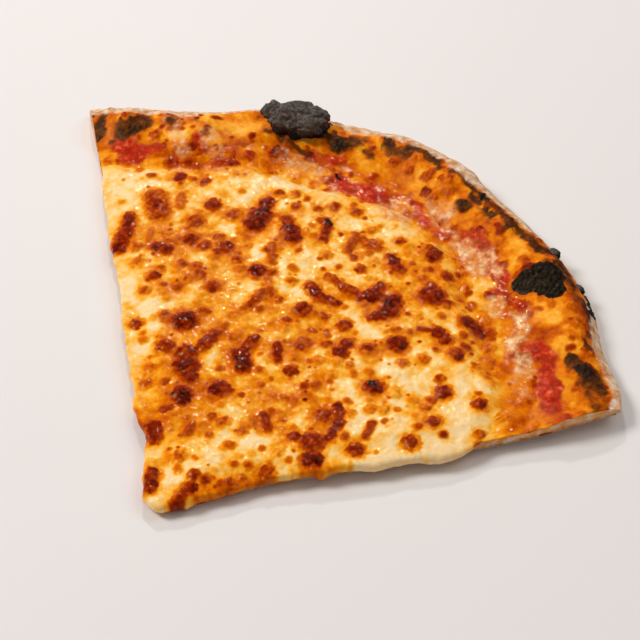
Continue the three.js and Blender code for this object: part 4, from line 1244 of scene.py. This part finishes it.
def make_lump(centre, half, turn, seed):
    ball = bmesh.new()
    bmesh.ops.create_icosphere(ball, subdivisions=4 + (max(half) > 4) + (max(half) > 8), radius=1)
    mesh = bpy.data.meshes.new("lump")
    ball.to_mesh(mesh)
    ball.free()
    points = np.empty(len(mesh.vertices) * 3)
    mesh.vertices.foreach_get("co", points)
    points = points.reshape(-1, 3)
    # darker towards the bottom: the char's own black, and painted shade on the lower side
    soot_and_shade_share = np.clip((0.55 if max(half) > 4 else 1.3) - 1.1 * points[:, 2], 0, 1)
    points = points * (1 + lump_relief(points, seed))[:, None] * half
    turned = np.array(Matrix.Rotation(math.radians(turn), 3, "Z"))
    points = points @ turned.T + centre + np.array([*tip_place, 0])
    mesh.vertices.foreach_set("co", (points * MM).ravel())
    mesh.shade_smooth()
    mesh.attributes.new("soot_and_shade", "FLOAT", "POINT").data.foreach_set("value", soot_and_shade_share)
    return mesh


# %% Joining the lumps
def joined(name, meshes, material):
    """One object from several meshes, with their float attributes."""
    objects = [add_object(name, mesh) for mesh in meshes]
    for piece in objects:
        piece.data.materials.clear()
        piece.data.materials.append(material)
    with bpy.context.temp_override(active_object=objects[0], selected_editable_objects=objects):
        bpy.ops.object.join()
    print(name, "triangles:", len(objects[0].data.polygons))
    return objects[0]


char_blisters = joined(
    "char_blisters",
    [make_lump(centre, half, turn, 11 + i) for i, (centre, half, turn) in enumerate(char_lumps)],
    charred_crust,
)

# %% [markdown]
# ## Crumbs, curds and flour
# Loose things finer than a grain of rice lie on a baked surface: white curd bits, flour, and crumbs of
# char. Geometry Nodes throw a small ball at each of many random points of a surface, more where a named
# map is high. The ball has 20 faces, because it is repeated many times. A particle system could throw
# them too, but it reads vertex groups, and these maps are attributes.

# %% Scatter tree
scatter_inputs = {
    "Surface": "Geometry", "Map": "String", "Per square metre": "Float", "Smallest": "Float",
    "Largest": "Float", "Flatness": "Float", "Seed": "Int"}


def scatter_tree(name, material):
    tree = bpy.data.node_groups.new(name, "GeometryNodeTree")
    for label, kind in scatter_inputs.items():
        tree.interface.new_socket(label, in_out="INPUT", socket_type=f"NodeSocket{kind}")
    tree.interface.new_socket("Pieces", in_out="OUTPUT", socket_type="NodeSocketGeometry")
    given = tree.nodes.new("NodeGroupInput").outputs
    share = add_node(tree, "GeometryNodeInputNamedAttribute", {"Name": given["Map"]}, data_type="FLOAT")
    density = add_node(tree, "ShaderNodeMath", {0: share.outputs["Attribute"], 1: given["Per square metre"]},
                       operation="MULTIPLY")
    points = add_node(tree, "GeometryNodeDistributePointsOnFaces", {
        "Mesh": given["Surface"], "Density": density.outputs[0], "Seed": given["Seed"]})
    ball = add_node(tree, "GeometryNodeMeshIcoSphere", {"Radius": 0.5, "Subdivisions": 1})
    size = add_node(tree, "FunctionNodeRandomValue", {
        "Min": given["Smallest"], "Max": given["Largest"], "Seed": given["Seed"]}, data_type="FLOAT")
    shape = add_node(tree, "ShaderNodeCombineXYZ", {"X": 1.0, "Y": 1.0, "Z": given["Flatness"]})
    stretch = add_node(tree, "ShaderNodeVectorMath", {0: shape.outputs[0], "Scale": size.outputs["Value"]},
                       operation="SCALE")
    placed = add_node(tree, "GeometryNodeInstanceOnPoints", {
        "Points": points.outputs["Points"], "Instance": ball.outputs["Mesh"],
        "Rotation": points.outputs["Rotation"], "Scale": stretch.outputs[0]})
    real = add_node(tree, "GeometryNodeRealizeInstances", {"Geometry": placed.outputs[0]})
    finished = add_node(tree, "GeometryNodeSetMaterial", {"Geometry": real.outputs[0], "Material": material})
    add_node(tree, "NodeGroupOutput", {0: finished.outputs[0]})
    return tree


# %% Scattering on a surface
ball_faces = 20


def scattered(name, surface, material, **inputs):
    """A plain mesh object of small pieces on a surface; `inputs` are the tree's sizes, in its own names."""
    tree = scatter_tree(name, material)
    carrier = add_object(name, surface.data)
    modifier = carrier.modifiers.new("Scatter", "NODES")
    modifier.node_group = tree
    for socket in tree.interface.items_tree:
        label = socket.name.lower().replace(" ", "_")
        if socket.in_out == "INPUT" and label in inputs:
            modifier[socket.identifier] = inputs[label]
    mesh = bpy.data.meshes.new_from_object(carrier.evaluated_get(bpy.context.evaluated_depsgraph_get()))
    carrier.modifiers.remove(modifier)
    bpy.data.objects.remove(carrier)
    mesh.name = name
    mesh.shade_smooth()
    piece = add_object(name, mesh)
    print(name, "pieces:", len(mesh.polygons) // ball_faces)
    return piece


# %% Loose bits
def plain_finish(name, stops, rough):
    """A small thing's finish: a few shades picked by noise."""
    material, tree = material_tree(name)
    shade = add_node(tree, "ShaderNodeValToRGB", {"Fac": object_noise(tree, 1.5, 2)}, stops=stops)
    shader = add_node(tree, "ShaderNodeBsdfPrincipled", {
        "Base Color": shade.outputs[0], "Roughness": rough, "Specular IOR Level": 0.4})
    add_node(tree, "ShaderNodeOutputMaterial", {"Surface": shader.outputs[0]})
    return material


# Curd that dried to white specks keeps a little fat on it, so it glints.
curd_finish = plain_finish("dried_curd", [(0.35, "#E8A062"), (0.5, "#F8CC98"), (0.65, "#FFE8CC")], 0.4)
# Wheat flour: dead matt.
flour_finish = plain_finish("wheat_flour", [(0.35, "#E0BE96"), (0.5, "#EED8BE"), (0.65, "#F6EBDD")], 0.95)
# Crumbs of burnt crust.
crumb_finish = plain_finish("burnt_crumbs", [(0.35, "#0C0706"), (0.55, "#2A140A"), (0.7, "#55301C")], 0.7)
curd_bits = scattered(
    "curd_bits", tomato_sauce, curd_finish, map="milky", per_square_metre=1.3e5,
    smallest=0.3 * MM, largest=0.8 * MM, flatness=0.5, seed=1)
flour_grains = scattered(
    "flour_grains", pizza_dough, flour_finish, map="grains", per_square_metre=1.6e5,
    smallest=0.2 * MM, largest=0.5 * MM, flatness=0.7, seed=2)
burnt_crumbs = scattered(
    "burnt_crumbs", pizza_dough, crumb_finish, map="crumbs", per_square_metre=8e4,
    smallest=0.2 * MM, largest=0.5 * MM, flatness=0.7, seed=3)

# %% [markdown]
# ## Studio
# A plain pale floor, a soft lamp from the left, a dim one opposite, and an even sky. An image of a room
# could light it all, but each lamp can be moved and sized by itself. The soft lamp's size sets how soft
# the shadow under the curled cut is. A small lamp behind gives the cheese its glints.

# %% Floor
floor_mesh = bpy.data.meshes.new("floor")
half_floor = 3.0
corners = [(x * half_floor, y * half_floor, 0) for x, y in ((-1, -1), (1, -1), (1, 1), (-1, 1))]
floor_mesh.from_pydata(corners, [], [(0, 1, 2, 3)])
floor = add_object("floor", floor_mesh)
floor_paint, tree = material_tree("pale_floor")
shader = add_node(tree, "ShaderNodeBsdfPrincipled", {"Base Color": colour("#E9E3DF"), "Roughness": 0.6})
add_node(tree, "ShaderNodeOutputMaterial", {"Surface": shader.outputs[0]})
floor_mesh.materials.append(floor_paint)

# %% Sky and lamps
world = bpy.data.worlds.new("Sky")
world.use_nodes = True
sky = world.node_tree.nodes["Background"].inputs
sky["Color"].default_value = colour("#F4F1EE")
sky["Strength"].default_value = 0.32
bpy.context.scene.world = world
bpy.context.scene.view_settings.view_transform = "Standard"


def add_lamp(name, place, size, power):
    lamp = add_object(name, bpy.data.lights.new(name, "AREA"))
    lamp.data.shape, lamp.data.size, lamp.data.energy = "DISK", size, power
    lamp.location = place
    lamp.rotation_euler = (-Vector(place)).to_track_quat("-Z", "Y").to_euler()


add_lamp("window", (-1.25, -0.45, 1.4), 0.7, 24)
add_lamp("fill", (0.6, 0.9, 1.3), 1.0, 5)
add_lamp("back_window", (-0.55, 0.75, 0.8), 0.1, 3)

# %% [markdown]
# ## Riding
# Each fine piece stands for the solid it replaces and rides on the slice's one body.

# %% Ride and replace
for piece, node, slot in [
    (pizza_dough, "crust", "baked_dough"), (char_blisters, "crust", "baked_dough"),
    (flour_grains, "crust", "baked_dough"), (burnt_crumbs, "crust", "baked_dough"),
    (tomato_sauce, "tomato_sauce", "tomato_sauce"), (melted_cheese, "cheese", "melted_cheese"),
    (curd_bits, "cheese", "melted_cheese"),
]:
    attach(piece, "root")
    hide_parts(node)
